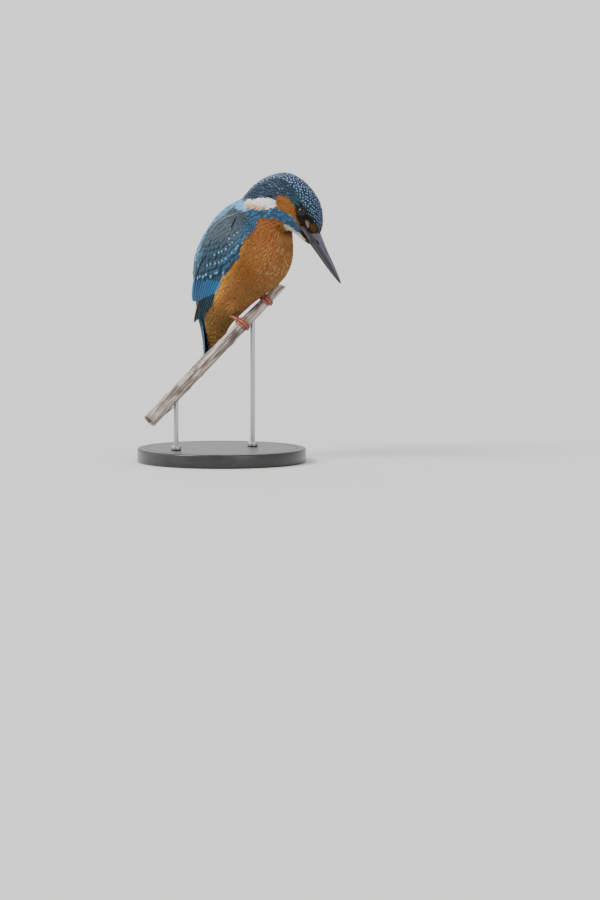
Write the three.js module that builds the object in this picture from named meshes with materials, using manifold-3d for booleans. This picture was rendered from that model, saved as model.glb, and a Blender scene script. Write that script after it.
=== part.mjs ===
// A common kingfisher, Alcedo atthis, life size, looking down from a cut length of reed over a round base.
// Millimetres, +Z up. The bird faces +X and is symmetric about the plane Y = 0, but for its two feet, which
// grip a reed that climbs from the bird's right to its left. Z = 0 is the underside of the base.
import * as THREE from "three";
import Module from "manifold-3d";
import { mergeVertices } from "three/addons/utils/BufferGeometryUtils.js";

const wasm = await Module();
wasm.setup();

const GAP = 0.3; // between two pieces that touch
const FINEST = 0.02; // nothing smaller is kept when a piece is cut
const v3 = (x, y, z) => new THREE.Vector3(x, y, z);
const DEG = Math.PI / 180;
const SIDES = [
  { name: "right", y: -1 },
  { name: "left", y: 1 },
];

// ---- dimensions ---------------------------------------------------------------------------------

// Each ring stands on a point of the breast side and reaches to a point of the back side, both as [x, z] in
// the plane of symmetry. half is its half width, which lies at the share wide of the way from breast to back.
const BODY = [
  { ring: "bill root", back: [51.8, 147], breast: [46.4, 139], half: 4.2, wide: 0.5 },
  { ring: "lores", back: [54, 153.4], breast: [43, 141.4], half: 7.4, wide: 0.46 },
  { ring: "forehead", back: [53.9, 160.8], breast: [39, 144.2], half: 10.2, wide: 0.5 },
  { ring: "eyes", back: [51.4, 168], breast: [35.4, 146.6], half: 12, wide: 0.52 },
  { ring: "crown", back: [47.2, 174.5], breast: [31.8, 148], half: 12.9, wide: 0.52 },
  { ring: "cheeks", back: [41.6, 180], breast: [29.6, 147.8], half: 13.6, wide: 0.5 },
  { ring: "hind crown", back: [34.6, 184.4], breast: [28.8, 146.8], half: 14.2, wide: 0.5 },
  { ring: "occiput", back: [26.2, 185.9], breast: [29, 145.2], half: 14.8, wide: 0.48 },
  { ring: "nape", back: [16.4, 183], breast: [29.6, 143.4], half: 15.6, wide: 0.48 },
  { ring: "hind neck", back: [7, 177.4], breast: [30.4, 140.6], half: 16.6, wide: 0.48 },
  { ring: "collar", back: [-1.4, 168.6], breast: [31.4, 136.8], half: 18.4, wide: 0.5 },
  { ring: "shoulders", back: [-11, 163.6], breast: [32, 131.4], half: 21, wide: 0.5 },
  { ring: "mantle", back: [-20.6, 155], breast: [30.8, 125], half: 22.3, wide: 0.5 },
  { ring: "breast", back: [-28.4, 142.5], breast: [27, 118], half: 22.6, wide: 0.5 },
  { ring: "back", back: [-32.6, 129.5], breast: [20.5, 111.5], half: 21.6, wide: 0.5 },
  { ring: "flanks", back: [-33.4, 117], breast: [12, 105.8], half: 19.6, wide: 0.5 },
  { ring: "rump", back: [-32.8, 106], breast: [3.5, 99.6], half: 16.4, wide: 0.5 },
  { ring: "vent", back: [-31.2, 96.5], breast: [-4, 93], half: 12.4, wide: 0.5 },
  { ring: "tail root", back: [-29.4, 88.5], breast: [-10.6, 86.5], half: 8.6, wide: 0.5 },
  { ring: "undertail", back: [-27, 79.5], breast: [-15, 78.5], half: 5.5, wide: 0.5 },
  { ring: "undertail tip", back: [-25.2, 70], breast: [-19.5, 69.5], half: 2.6, wide: 0.5 },
];
const BODY_SIDES = 22;
const RINGS_BETWEEN = 2; // lofted rings from one named ring to the next
const ringAt = (name) => BODY.findIndex((b) => b.ring === name) / (BODY.length - 1);

// Where the head swells over its brows and cheeks and dips before the eyes, in mm, on both sides.
const HEAD_FORMS = [
  { form: "brow", at: ringAt("eyes") + 0.012, turn: 52 * DEG, long: 0.035, wide: 0.28, rise: 0.7 },
  { form: "lores", at: ringAt("forehead") - 0.012, turn: 86 * DEG, long: 0.03, wide: 0.35, rise: -0.9 },
  { form: "cheek", at: ringAt("cheeks") - 0.02, turn: 105 * DEG, long: 0.05, wide: 0.4, rise: 0.8 },
  { form: "neck patch", at: ringAt("nape"), turn: 82 * DEG, long: 0.06, wide: 0.3, rise: 0.9 },
];

// The bill runs along a straight middle line from its tip to the gape. The lists go from tip to gape.
const BILL = {
  tip: v3(67.6, 0, 115.4),
  root: v3(51, 0, 140.8), // on the bill's middle line, where the chin feathers start
  behindRoot: 9, // how far the horn runs on under the feathers, to the gape
  culmen: [0.5, 1.9, 2.75, 3.4, 4.1, 4.4], // heights of the ridge over the middle line, tip to gape
  gonys: [0.5, 1.95, 2.85, 3.4, 3.7, 3.6], // depths of the keel under it
  half: [0.5, 1.5, 2.4, 3.4, 4.6, 5.4], // half widths at the cutting edge
  cut: [0, -0.2, -0.4, -0.7, -1.2, -1.9], // heights of the cutting edge
};
const BILL_RINGS = 10;
const BILL_ARC = 7; // facets over each half

// out is the distance of the eyeball's centre from the plane of symmetry.
const EYE = { x: 44.7, z: 161.5, out: 9.2, radius: 3.6 };

// A folded wing lies on the body from its shoulder to its tip. lead is its lower edge and trail its upper one,
// as turns round the body, in even steps from the shoulder to the tip.
const WING = {
  from: ringAt("collar") + 0.012,
  to: ringAt("tail root") - 0.012,
  lead: [92, 104, 103, 98, 90, 76],
  trail: [58, 36, 27, 23, 21, 24],
  lift: [0, 0.4, 0.5, 0.5, 0.8, 1.6], // of the surface under it, off the body
  thick: 2.5,
};
const COVERTS_END = 0.62; // share of the wing's length that the coverts hide, at mid width
const COVERT_TIERS = [0.27, 0.45]; // where each row of covert tips ends before that
const TIER_DROP = 0.4;
const TIER_SLANT = 0.14; // the rows run farther down at the trailing edge
const COVERT_ROWS = [0, 0.05, 0.12, 0.2, 0.268, 0.272, 0.36, 0.448, 0.452, 0.54, COVERTS_END];
const WING_WIDE = 8; // facets across a wing

// The secondaries start where the coverts end and stop in a level row. The primaries run on from under them to
// the wing's point. q is a place across the wing, and a tip's y is its distance from the plane of symmetry.
const FLIGHT = {
  secondaries: {
    count: 6,
    from: COVERTS_END + 0.008,
    middle: 0.8,
    near: { q: 0.06, tip: v3(-32.2, 7.2, 101.5) },
    far: { q: 0.9, tip: v3(-18, 14.6, 100.5) },
    sunk: 0,
  },
  primaries: {
    count: 4,
    from: 0.74,
    middle: 0.84,
    near: { q: 0.3, tip: v3(-32.6, 5.6, 87.6) },
    far: { q: 0.84, tip: v3(-20.6, 12.6, 97) },
    sunk: 0.4,
  },
};
// thick is a feather's own, step is how far its far edge rises, and blunt is the rounded share of its tip.
const FLIGHT_SHEET = { thick: 0.7, step: 0.45, blunt: 0.16, rows: 2 };

// Seen from behind, the middle pair lies over the others, and each pair farther out lies a little deeper.
const TAIL = {
  pairs: 5,
  root: v3(-28.6, 0, 92),
  tip: v3(-25.6, 0, 63.5),
  rootHalf: 4.6,
  tipHalf: 8.2,
  bow: 1.2, // how far its middle length stands forward of a straight line
  roof: 2.2, // how much deeper the outer edge lies
  shorten: 2, // of the outer feathers
};
const TAIL_SHEET = { thick: 0.8, step: 0.35, blunt: 0.12, rows: 2 };

// The reed climbs almost straight from its low, cut end to its high, broken one.
const REED = {
  low: v3(-38.2, -62, 28.5),
  high: v3(18, 18.2, 111.9),
  radii: [4.35, 4.25, 4.15, 4.1, 4.05, 3.85, 3.6, 3.4, 3.05, 2.6], // from the low end to the high one
  arch: 0.3, // how far its middle stands over a straight line
  joint: 0.36, // share of the length where the stem has its joint
  jointSwell: 0.35,
  hollow: 1.1,
  hollowDeep: 5,
};
const REED_RINGS = 17;
const REED_SIDES = 12;

// Three toes go over the reed to the front, the outer two joined for most of their length, and one goes back.
// start and end are turns round the reed from its top, forwards; beside is the toe's place along the reed.
const TOES = [
  { toe: "hind", beside: -0.5, thick: 0.95, start: -14, end: -104, claw: -152 },
  { toe: "inner", beside: -2, thick: 0.85, start: 12, end: 98, claw: 140 },
  { toe: "middle", beside: 0, thick: 1, start: 8, end: 134, claw: 178 },
  { toe: "outer", beside: 1.75, thick: 0.95, start: 10, end: 120, claw: 164 },
];
const FEET = {
  right: { grip: 0.698, ankle: v3(-7.5, -8, 93.6) },
  left: { grip: 0.876, ankle: v3(4.4, 7.8, 106.5) },
};
const TARSUS = { ankle: 1.4, middle: 1.1, toes: 1.7 };
const CLAW = { root: 0.62, tip: 0.3, lift: 0.15 };

// The feathered drumstick, sunk in the belly's side.
const THIGH = { hip: v3(-4, 9, 106), radii: [2.4, 5, 5.4, 4.6, 3.2, 2] };

// A round base carries two rods that end on the reed.
const STAND = {
  centre: [-8, -18],
  radius: 54,
  high: 9,
  chamfer: 1.2,
  rodRadius: 1.5,
  rods: { upper: 0.775, lower: 0.2 }, // where along the reed each rod meets it
  collar: { radius: 3.4, high: 3 },
};

const CUT = 0.0035; // half the share of the body's length that a thin cut takes out

// ---- solids -------------------------------------------------------------------------------------

function toSolid(geometry) {
  const bare = geometry.clone();
  bare.deleteAttribute("normal");
  bare.deleteAttribute("uv");
  const merged = mergeVertices(bare, 1e-4);
  return new wasm.Manifold(
    new wasm.Mesh({
      numProp: 3,
      vertProperties: new Float32Array(merged.attributes.position.array),
      triVerts: new Uint32Array(merged.index.array),
    }),
  );
}

function toGeometry(solid) {
  const { vertProperties, triVerts, numProp, numVert } = solid.getMesh();
  const places = new Float32Array(numVert * 3);
  for (let i = 0; i < numVert; i++) {
    places.set(vertProperties.subarray(i * numProp, i * numProp + 3), i * 3);
  }
  const geometry = new THREE.BufferGeometry();
  geometry.setAttribute("position", new THREE.BufferAttribute(places, 3));
  geometry.setIndex(new THREE.BufferAttribute(triVerts, 1));
  return geometry;
}

// A solid from the points and triangles of its closed surface, turned to face out.
function closed(points, index) {
  const geometry = new THREE.BufferGeometry().setFromPoints(points);
  geometry.setIndex(index);
  const solid = toSolid(geometry);
  if (solid.volume() > 0) return solid;
  geometry.setIndex(index.reverse());
  return toSolid(geometry);
}

// A closed solid through rings of points. All rings run the same way round, and each end closes on its centre.
function loft(rings) {
  const around = rings[0].length;
  const middle = (ring) => ring.reduce((sum, p) => sum.add(p), v3(0, 0, 0)).divideScalar(around);
  const points = [...rings.flat(), middle(rings[0]), middle(rings.at(-1))];
  const [first, last] = [points.length - 2, points.length - 1];
  const end = (rings.length - 1) * around;
  const index = [];
  for (let j = 0; j < around; j++) {
    const next = (j + 1) % around;
    for (let i = 0; i < end; i += around) {
      index.push(i + j, i + around + j, i + around + next, i + j, i + around + next, i + next);
    }
    index.push(first, j, next, last, end + next, end + j);
  }
  return closed(points, index);
}

// A closed solid between two like grids of points, each a list of rows, the first grid over the second.
function slab(top, under) {
  const [rows, columns] = [top.length, top[0].length];
  const at = (layer, i, j) => (layer * rows + i) * columns + j;
  const index = [];
  const face = (a, b, c, d) => index.push(a, b, c, a, c, d);
  for (let i = 0; i + 1 < rows; i++) {
    for (let j = 0; j + 1 < columns; j++) {
      face(at(0, i, j), at(0, i, j + 1), at(0, i + 1, j + 1), at(0, i + 1, j));
      face(at(1, i, j), at(1, i + 1, j), at(1, i + 1, j + 1), at(1, i, j + 1));
    }
    const last = columns - 1;
    face(at(0, i, 0), at(0, i + 1, 0), at(1, i + 1, 0), at(1, i, 0));
    face(at(0, i, last), at(1, i, last), at(1, i + 1, last), at(0, i + 1, last));
  }
  for (let j = 0; j + 1 < columns; j++) {
    const last = rows - 1;
    face(at(0, 0, j), at(1, 0, j), at(1, 0, j + 1), at(0, 0, j + 1));
    face(at(0, last, j), at(0, last, j + 1), at(1, last, j + 1), at(1, last, j));
  }
  return closed([...top.flat(), ...under.flat()], index);
}

const joined = (solids) => solids.reduce((all, one) => all.add(one));
const largest = (solid) => solid.decompose().reduce((a, b) => (b.volume() > a.volume() ? b : a));
const steps = (count) => Array.from({ length: count + 1 }, (_, i) => i / count);
const lerp = THREE.MathUtils.lerp;

// A value that runs smoothly through evenly spaced stops as share goes from 0 to 1.
function along(stops, share) {
  const curve = new THREE.CatmullRomCurve3(stops.map((s, i) => v3(i, s, 0)));
  return curve.getPoint(THREE.MathUtils.clamp(share, 0, 1)).y;
}

const bump = (x, centre, width) => Math.exp(-(((x - centre) / width) ** 2));

// ---- the body, one form from the bill's root to the undertail -----------------------------------

const backLine = new THREE.CatmullRomCurve3(BODY.map((b) => v3(b.back[0], b.half, b.back[1])));
const breastLine = new THREE.CatmullRomCurve3(BODY.map((b) => v3(b.breast[0], b.wide, b.breast[1])));

// A point of the body's surface: t from bill to tail, turn from 0 along the back to PI along the breast.
function bodyPoint(t, turn, side = -1) {
  const back = backLine.getPoint(t);
  const breast = breastLine.getPoint(t);
  const [half, wide] = [back.y, breast.y];
  back.y = 0;
  breast.y = 0;
  const centre = breast.clone().lerp(back, wide);
  const reach = (turn < Math.PI / 2 ? back : breast).clone().sub(centre);
  const swell = HEAD_FORMS.reduce(
    (sum, f) => sum + f.rise * bump(t, f.at, f.long) * bump(turn, f.turn, f.wide),
    0,
  );
  const point = centre.clone().addScaledVector(reach, Math.abs(Math.cos(turn)));
  point.addScaledVector(reach.clone().normalize(), swell * Math.abs(Math.cos(turn)));
  point.y = side * (half + swell) * Math.sin(turn);
  return point;
}

// The outward direction at that point.
function bodyNormal(t, turn, side = -1) {
  const d = 0.004;
  const [t0, t1] = [Math.max(t - d, 0), Math.min(t + d, 1)];
  const lengthways = bodyPoint(t1, turn, side).sub(bodyPoint(t0, turn, side));
  const across = bodyPoint(t, turn + 0.03, side).sub(bodyPoint(t, turn - 0.03, side));
  return lengthways.cross(across).multiplyScalar(-side).normalize();
}

function bodyRing(t, grow) {
  return steps(BODY_SIDES)
    .slice(0, -1)
    .map((share) => {
      const side = share <= 0.5 ? -1 : 1;
      const turn = Math.min(share, 1 - share) * 2 * Math.PI;
      return bodyPoint(t, turn, side).addScaledVector(bodyNormal(t, turn, side), grow);
    });
}

function bodyLength(from, to, grow = 0) {
  const count = Math.max(2, Math.round((to - from) * (BODY.length - 1) * RINGS_BETWEEN));
  return loft(steps(count).map((share) => bodyRing(lerp(from, to, share), grow)));
}

// ---- bill ---------------------------------------------------------------------------------------

const billBack = BILL.root.clone().sub(BILL.tip).normalize();
const billUp = v3(billBack.z, 0, -billBack.x);
const billLength = BILL.root.distanceTo(BILL.tip) + BILL.behindRoot;

// One half of the bill. up is 1 for the upper and -1 for the lower.
function billHalf(up) {
  const ring = (share) => {
    const half = along(BILL.half, share);
    const cut = along(BILL.cut, share) + (up * GAP) / 2;
    const reach = up * along(up > 0 ? BILL.culmen : BILL.gonys, share) - cut;
    const centre = BILL.tip.clone().addScaledVector(billBack, share * billLength);
    return steps(BILL_ARC).map((s) => {
      const turn = s * Math.PI;
      const height = cut + reach * Math.sin(turn) ** 1.15;
      return centre
        .clone()
        .addScaledVector(billUp, height)
        .add(v3(0, half * Math.cos(turn), 0));
    });
  };
  return loft(steps(BILL_RINGS).map(ring));
}

// The whole bill's outline, grown by clear to cut its seat in the head.
function billSeat(clear) {
  const sides = 2 * BILL_ARC;
  const ring = (share) =>
    steps(sides)
      .slice(0, -1)
      .map((s) => {
        const turn = s * 2 * Math.PI;
        const reach = along(turn < Math.PI ? BILL.culmen : BILL.gonys, share) + clear;
        return BILL.tip
          .clone()
          .addScaledVector(billBack, share * (billLength + clear))
          .addScaledVector(billUp, reach * Math.sin(turn))
          .add(v3(0, (along(BILL.half, share) + clear) * Math.cos(turn), 0));
      });
  return loft(steps(BILL_RINGS / 2).map(ring));
}

// ---- eyes ---------------------------------------------------------------------------------------

function ball(centre, radius, around = 16) {
  const geometry = new THREE.SphereGeometry(radius, around, Math.round(around * 0.7));
  return toSolid(geometry.translate(centre.x, centre.y, centre.z));
}

const eyeCentre = (side) => v3(EYE.x, side * EYE.out, EYE.z);

// ---- wings --------------------------------------------------------------------------------------

// p runs from shoulder to tip and q from the trailing edge to the leading one.
function wingPoint(p, q, out, side) {
  const t = lerp(WING.from, WING.to, p);
  const turn = lerp(along(WING.trail, p), along(WING.lead, p), q) * DEG;
  const lift = along(WING.lift, p) * Math.sin(Math.PI * Math.min(q + 0.25, 1));
  return bodyPoint(t, turn, side).addScaledVector(bodyNormal(t, turn, side), out + lift);
}

// The coverts lie in tiers, each a step lower than the one before it.
function covertHeight(row, q) {
  const tiers = COVERT_TIERS.filter((end) => row > end).length;
  const edge = Math.min(1, 3 * Math.sqrt(Math.max(0, q * (1 - q))));
  const front = Math.min(1, Math.sqrt(row / 0.12));
  return 0.5 + (WING.thick - 0.5 - TIER_DROP * tiers) * Math.max(0.05, edge * front);
}

function covertShield(side, clear = 0) {
  const place = (row, q, out) => {
    const slant = TIER_SLANT * (0.5 - q) * Math.min(1, row / 0.25);
    const grown = q + clear * 0.02 * Math.sign(q - 0.5);
    return wingPoint(Math.max(0, row + slant) + clear * 0.004, grown, out, side);
  };
  const grid = (out) => COVERT_ROWS.map((row) => steps(WING_WIDE).map((q) => place(row, q, out(row, q))));
  return slab(
    grid((row, q) => GAP + covertHeight(row, q) + clear),
    grid(() => GAP - clear),
  );
}

// A sheet of long feathers that lie side by side, each with its far edge raised over the next one's near edge.
// place gives the point at a share of the length and a share of the width, at a height, for a feather's rank.
function featherSheet(count, place, { thick, step, blunt, rows }) {
  const marks = [...steps(rows).map((s) => s * (1 - blunt)), 1 - blunt * 0.3, 1];
  const columns = steps(count - 1).flatMap((rank) => [0, 0.5, 1].map((across) => ({ rank, across })));
  const reach = (s, across) => Math.min(s, 1 - blunt * (across === 0.5 ? 0 : 0.75));
  const grid = (height) =>
    marks.map((s) =>
      columns.map(({ rank, across }) => {
        const width = (rank * (count - 1) + lerp(0.02, 0.98, across)) / count;
        return place(reach(s, across) + s * 0.01, width, height(across));
      }),
    );
  return slab(
    grid((across) => thick + step * across),
    grid(() => 0),
  );
}

function flightFeathers(side) {
  const sheet = ({ count, from, middle, near, far, sunk }) => {
    const line = (width) => {
      const q = lerp(near.q, far.q, width);
      const tip = near.tip.clone().lerp(far.tip, width);
      tip.y *= side;
      const slant = TIER_SLANT * (0.5 - q);
      const stops = [from + slant, middle + slant / 2].map((p) => wingPoint(p, q, GAP, side));
      return new THREE.CatmullRomCurve3([...stops, tip]);
    };
    const place = (s, width, height) => {
      const t = lerp(WING.from, WING.to, lerp(from, 0.95, s));
      const face = bodyNormal(t, lerp(35, 85, width) * DEG, side);
      return line(width).getPoint(Math.min(s, 1)).addScaledVector(face, height + 0.4 - sunk);
    };
    return featherSheet(count, place, FLIGHT_SHEET);
  };
  return sheet(FLIGHT.secondaries).add(sheet(FLIGHT.primaries));
}

// ---- tail ---------------------------------------------------------------------------------------

function tailFeathers() {
  const halves = SIDES.map(({ y }) => {
    const place = (s, width, height) => {
      const middle = TAIL.root.clone().lerp(TAIL.tip, s);
      const forward = TAIL.bow * Math.sin(Math.PI * s) + TAIL.roof * width * width;
      const out = y * (lerp(TAIL.rootHalf, TAIL.tipHalf, s) * (width * 1.02 - 0.02));
      return middle.add(v3(forward - height, out, TAIL.shorten * width * s));
    };
    return featherSheet(TAIL.pairs, place, TAIL_SHEET);
  });
  return joined(halves);
}

// ---- reed perch ---------------------------------------------------------------------------------

const reedLine = new THREE.CatmullRomCurve3([
  REED.low,
  REED.low.clone().lerp(REED.high, 0.5).add(v3(0, 0, REED.arch)),
  REED.high,
]);
const reedRadius = (s) => along(REED.radii, s) + REED.jointSwell * bump(s, REED.joint, 0.014);
const reedWay = (s) => reedLine.getTangent(s);

// Two directions across the reed: over points up from it, and fore points the way the bird faces.
function reedFrame(s) {
  const way = reedWay(s);
  const over = v3(0, 0, 1).addScaledVector(way, -way.z).normalize();
  const fore = way.clone().cross(over).normalize();
  if (fore.x < 0) fore.negate();
  return { way, over, fore };
}

function reedTube(from, to, grow, count = REED_RINGS) {
  return loft(
    steps(count).map((share) => {
      const s = lerp(from, to, share);
      const { over, fore } = reedFrame(s);
      return steps(REED_SIDES)
        .slice(0, -1)
        .map((turnShare) => {
          const turn = turnShare * 2 * Math.PI;
          const ridge = 1 + 0.03 * Math.sin(3 * turn + 5 * s) + 0.02 * Math.sin(5 * turn - 9 * s);
          const radius = reedRadius(s) * ridge + grow;
          return reedLine
            .getPoint(s)
            .addScaledVector(over, radius * Math.cos(turn))
            .addScaledVector(fore, radius * Math.sin(turn));
        });
    }),
  );
}

// The broken top is hollow and split, and a splinter of the sheath stands off near the low end.
function reed() {
  const { way, over, fore } = reedFrame(1);
  const mouth = REED.high.clone().addScaledVector(way, 1);
  const hollow = rod(REED.high.clone().addScaledVector(way, -REED.hollowDeep), mouth, REED.hollow, 10);
  const notchFoot = REED.high.clone().addScaledVector(way, -3).addScaledVector(over, 2.6);
  const notch = rod(notchFoot, notchFoot.clone().addScaledVector(way, 6).addScaledVector(fore, -1.2), 1.5, 8);
  const foot = splinterPoint(0.02, 0.5);
  const splinter = vane(
    new THREE.CatmullRomCurve3([foot, splinterPoint(0.07, 0.5), splinterPoint(0.15, 1.5)]),
    over.clone().negate(),
    1.3,
    0.9,
    0.6,
    5,
  );
  return largest(reedTube(0, 1, 0).subtract(hollow).subtract(notch).add(splinter));
}

// A long flat vane that follows a path. out gives the way its face looks, and blunt is its rounded share.
function vane(path, out, half, thick, blunt, count) {
  return loft(
    steps(count).map((s) => {
      const centre = path.getPoint(s);
      const across = path.getTangent(s).cross(out).normalize();
      const past = Math.max(0, (s - 1 + blunt) / blunt);
      const reach = half * Math.sqrt(Math.max(0.06, 1 - past * past));
      const corner = (a, h) => centre.clone().addScaledVector(across, a).addScaledVector(out, h);
      const low = -thick / 2;
      return [corner(-reach, low), corner(0, thick / 2), corner(reach, low)];
    }),
  );
}

function splinterPoint(s, off) {
  const { over, fore } = reedFrame(s);
  const under = over.clone().multiplyScalar(-0.92).addScaledVector(fore, 0.38).normalize();
  return reedLine.getPoint(s).addScaledVector(under, reedRadius(s) - 0.9 + off);
}

function rod(from, to, radius, around = 16) {
  const length = from.distanceTo(to);
  const geometry = new THREE.CylinderGeometry(radius, radius, length, around);
  const turn = new THREE.Quaternion().setFromUnitVectors(v3(0, 1, 0), to.clone().sub(from).normalize());
  const middle = from.clone().lerp(to, 0.5);
  return toSolid(geometry.applyQuaternion(turn).translate(middle.x, middle.y, middle.z));
}

// ---- feet ---------------------------------------------------------------------------------------

function toePoint(grip, toe, turnDegrees, out) {
  const { way, over, fore } = reedFrame(grip);
  const turn = turnDegrees * DEG;
  const radius = reedRadius(grip) + GAP + out;
  return reedLine
    .getPoint(grip)
    .addScaledVector(way, toe.beside * Math.cos((turn - toe.start * DEG) * 0.3))
    .addScaledVector(over, radius * Math.cos(turn))
    .addScaledVector(fore, radius * Math.sin(turn));
}

// A round limb along a path, with a thickness for each share of it. beside is a direction across the path.
function limb(points, thickness, beside, count, around) {
  const path = new THREE.CatmullRomCurve3(points);
  return loft(
    steps(count).map((s) => {
      const way = path.getTangent(s);
      const first = beside.clone().addScaledVector(way, -beside.dot(way)).normalize();
      const second = way.cross(first);
      return steps(around)
        .slice(0, -1)
        .map((share) => {
          const turn = share * 2 * Math.PI;
          return path
            .getPoint(s)
            .addScaledVector(first, thickness(s) * Math.cos(turn))
            .addScaledVector(second, thickness(s) * Math.sin(turn));
        });
    }),
  );
}

function toe(grip, one) {
  const joints = 3;
  const points = steps(6).map((s) => toePoint(grip, one, lerp(one.start, one.end, s), one.thick));
  const pads = (s) => 1 + 0.1 * Math.cos(2 * Math.PI * joints * s);
  return limb(points, (s) => one.thick * (1 - 0.16 * s) * pads(s), reedWay(grip), 6, 6);
}

function claw(grip, one) {
  const way = Math.sign(one.end);
  const points = steps(4).map((s) =>
    toePoint(grip, one, lerp(one.end + way * 3, one.claw, s), one.thick + CLAW.lift),
  );
  return limb(points, (s) => lerp(CLAW.root, CLAW.tip, s), reedWay(grip), 4, 5);
}

function foot(name) {
  const { grip, ankle } = FEET[name];
  const { over } = reedFrame(grip);
  const pad = reedLine.getPoint(grip).addScaledVector(over, reedRadius(grip) + GAP + TARSUS.toes);
  const back = ankle.clone().lerp(pad, 0.5).add(v3(-0.6, 0, 0.3));
  const shank = limb(
    [ankle, back, pad],
    (s) => along([TARSUS.ankle, TARSUS.middle, TARSUS.toes], s),
    v3(0, 1, 0),
    5,
    8,
  );
  const toes = TOES.map((one) => toe(grip, one));
  return joined([shank, ball(pad, TARSUS.toes, 8), ...toes]).subtract(reedTube(0, 1, GAP));
}

// clear grows it to cut its pocket in the trunk.
function thigh(name, side, clear = 0) {
  const end = FEET[name].ankle.clone();
  const hip = v3(THIGH.hip.x, side * THIGH.hip.y, THIGH.hip.z);
  const way = end.clone().sub(hip).normalize();
  hip.addScaledVector(way, -clear);
  end.addScaledVector(way, clear);
  const knee = hip.clone().lerp(end, 0.5).add(v3(1, side, 0));
  return limb([hip, knee, end], (s) => along(THIGH.radii, s) + clear, v3(0, 1, 0), 6, 10);
}

// ---- stand --------------------------------------------------------------------------------------

function turned(profile, around) {
  const points = profile.map(([radius, z]) => new THREE.Vector2(radius, z));
  return toSolid(new THREE.LatheGeometry(points, around).rotateX(Math.PI / 2));
}

function standBase() {
  const { radius, high, chamfer } = STAND;
  const disc = turned(
    [
      [0, 0],
      [radius - chamfer, 0],
      [radius, chamfer],
      [radius, high - chamfer],
      [radius - chamfer, high],
      [0, high],
    ],
    40,
  );
  return disc.translate([...STAND.centre, 0]);
}

function standRod(s) {
  const top = reedLine.getPoint(s);
  const foot = v3(top.x, top.y, STAND.high + GAP);
  const { radius, high } = STAND.collar;
  const collar = rod(foot, foot.clone().add(v3(0, 0, high)), radius, 20);
  const shaft = rod(foot, top, STAND.rodRadius, 12);
  return largest(shaft.add(collar).subtract(reedTube(0, 1, GAP)));
}

// ---- the pieces, each cut to its neighbours -----------------------------------------------------

const COLOURS = {
  crown: { color: 0x24475f, roughness: 0.6, metalness: 0 },
  neck: { color: 0xe9dcc4, roughness: 0.7, metalness: 0 },
  breast: { color: 0xb56a22, roughness: 0.75, metalness: 0 },
  wing: { color: 0x2f5a70, roughness: 0.55, metalness: 0 },
  flight: { color: 0x2b6d92, roughness: 0.5, metalness: 0 },
  tail: { color: 0x2a6aa0, roughness: 0.5, metalness: 0 },
  bill: { color: 0x35313c, roughness: 0.35, metalness: 0 },
  eye: { color: 0x140e0b, roughness: 0.08, metalness: 0 },
  leg: { color: 0xb5503a, roughness: 0.5, metalness: 0 },
  claw: { color: 0x2c211f, roughness: 0.4, metalness: 0 },
  reed: { color: 0xa69c8a, roughness: 0.8, metalness: 0 },
  base: { color: 0x2e2c2a, roughness: 0.5, metalness: 0 },
  rod: { color: 0x8d8d90, roughness: 0.3, metalness: 1 },
};

const kingfisher = new THREE.Group();

function place(name, solid, finish) {
  const material = new THREE.MeshStandardMaterial(COLOURS[finish]);
  const mesh = new THREE.Mesh(toGeometry(solid.simplify(FINEST)), material);
  mesh.name = name;
  kingfisher.add(mesh);
}

const headEnd = ringAt("occiput") + 0.02;
const neckEnd = ringAt("collar");

const bills = { bill_upper: billHalf(1), bill_lower: billHalf(-1) };
const sockets = SIDES.map(({ y }) => ball(eyeCentre(y), EYE.radius + GAP, 12));

const head = bodyLength(0, headEnd - CUT).subtract(billSeat(3 * GAP)).subtract(joined(sockets));
place("head", largest(head), "crown");
place("neck", bodyLength(headEnd + CUT, neckEnd - CUT), "neck");
for (const [name, solid] of Object.entries(bills)) place(name, solid, "bill");

const thighPockets = joined(SIDES.map(({ name, y }) => thigh(name, y, 2 * GAP)));
const trunk = largest(bodyLength(neckEnd + CUT, 1).subtract(thighPockets));
const trunkClear = bodyLength(neckEnd + CUT, 1, GAP - 0.1);
place("trunk", trunk, "breast");
place("tail", largest(tailFeathers().subtract(trunkClear)), "tail");
for (const { name, y } of SIDES) {
  const flight = flightFeathers(y).subtract(trunkClear);
  place(`eye_${name}`, ball(eyeCentre(y), EYE.radius, 14), "eye");
  place(`wing_${name}`, largest(covertShield(y).subtract(trunkClear)), "wing");
  place(`flight_feathers_${name}`, largest(flight), "flight");
  place(`thigh_${name}`, thigh(name, y), "breast");
  place(`leg_${name}`, largest(foot(name).subtract(trunkClear).subtract(thighPockets)), "leg");
  for (const one of TOES) place(`claw_${name}_${one.toe}`, claw(FEET[name].grip, one), "claw");
}
place("reed_perch", reed(), "reed");
place("stand_base", standBase(), "base");
for (const [name, s] of Object.entries(STAND.rods)) place(`stand_rod_${name}`, standRod(s), "rod");

export default kingfisher;
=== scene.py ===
# A common kingfisher, Alcedo atthis, mounted life size on a cut length of reed over a round black base, as a
# museum shows it. Metres, +Z up. The bird faces +X and is the same on both sides but for its feet.
import math

import bmesh
import bpy
import numpy as np
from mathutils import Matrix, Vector
from mathutils.bvhtree import BVHTree
from mathutils.kdtree import KDTree


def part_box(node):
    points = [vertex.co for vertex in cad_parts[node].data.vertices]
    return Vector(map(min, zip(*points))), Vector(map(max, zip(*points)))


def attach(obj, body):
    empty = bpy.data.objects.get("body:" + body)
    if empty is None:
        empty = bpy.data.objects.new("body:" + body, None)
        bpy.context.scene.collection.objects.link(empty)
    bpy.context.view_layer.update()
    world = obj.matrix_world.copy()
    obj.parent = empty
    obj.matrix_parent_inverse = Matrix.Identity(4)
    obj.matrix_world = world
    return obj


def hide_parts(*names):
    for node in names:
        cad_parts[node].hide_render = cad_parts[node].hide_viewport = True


MM = 0.001

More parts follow.
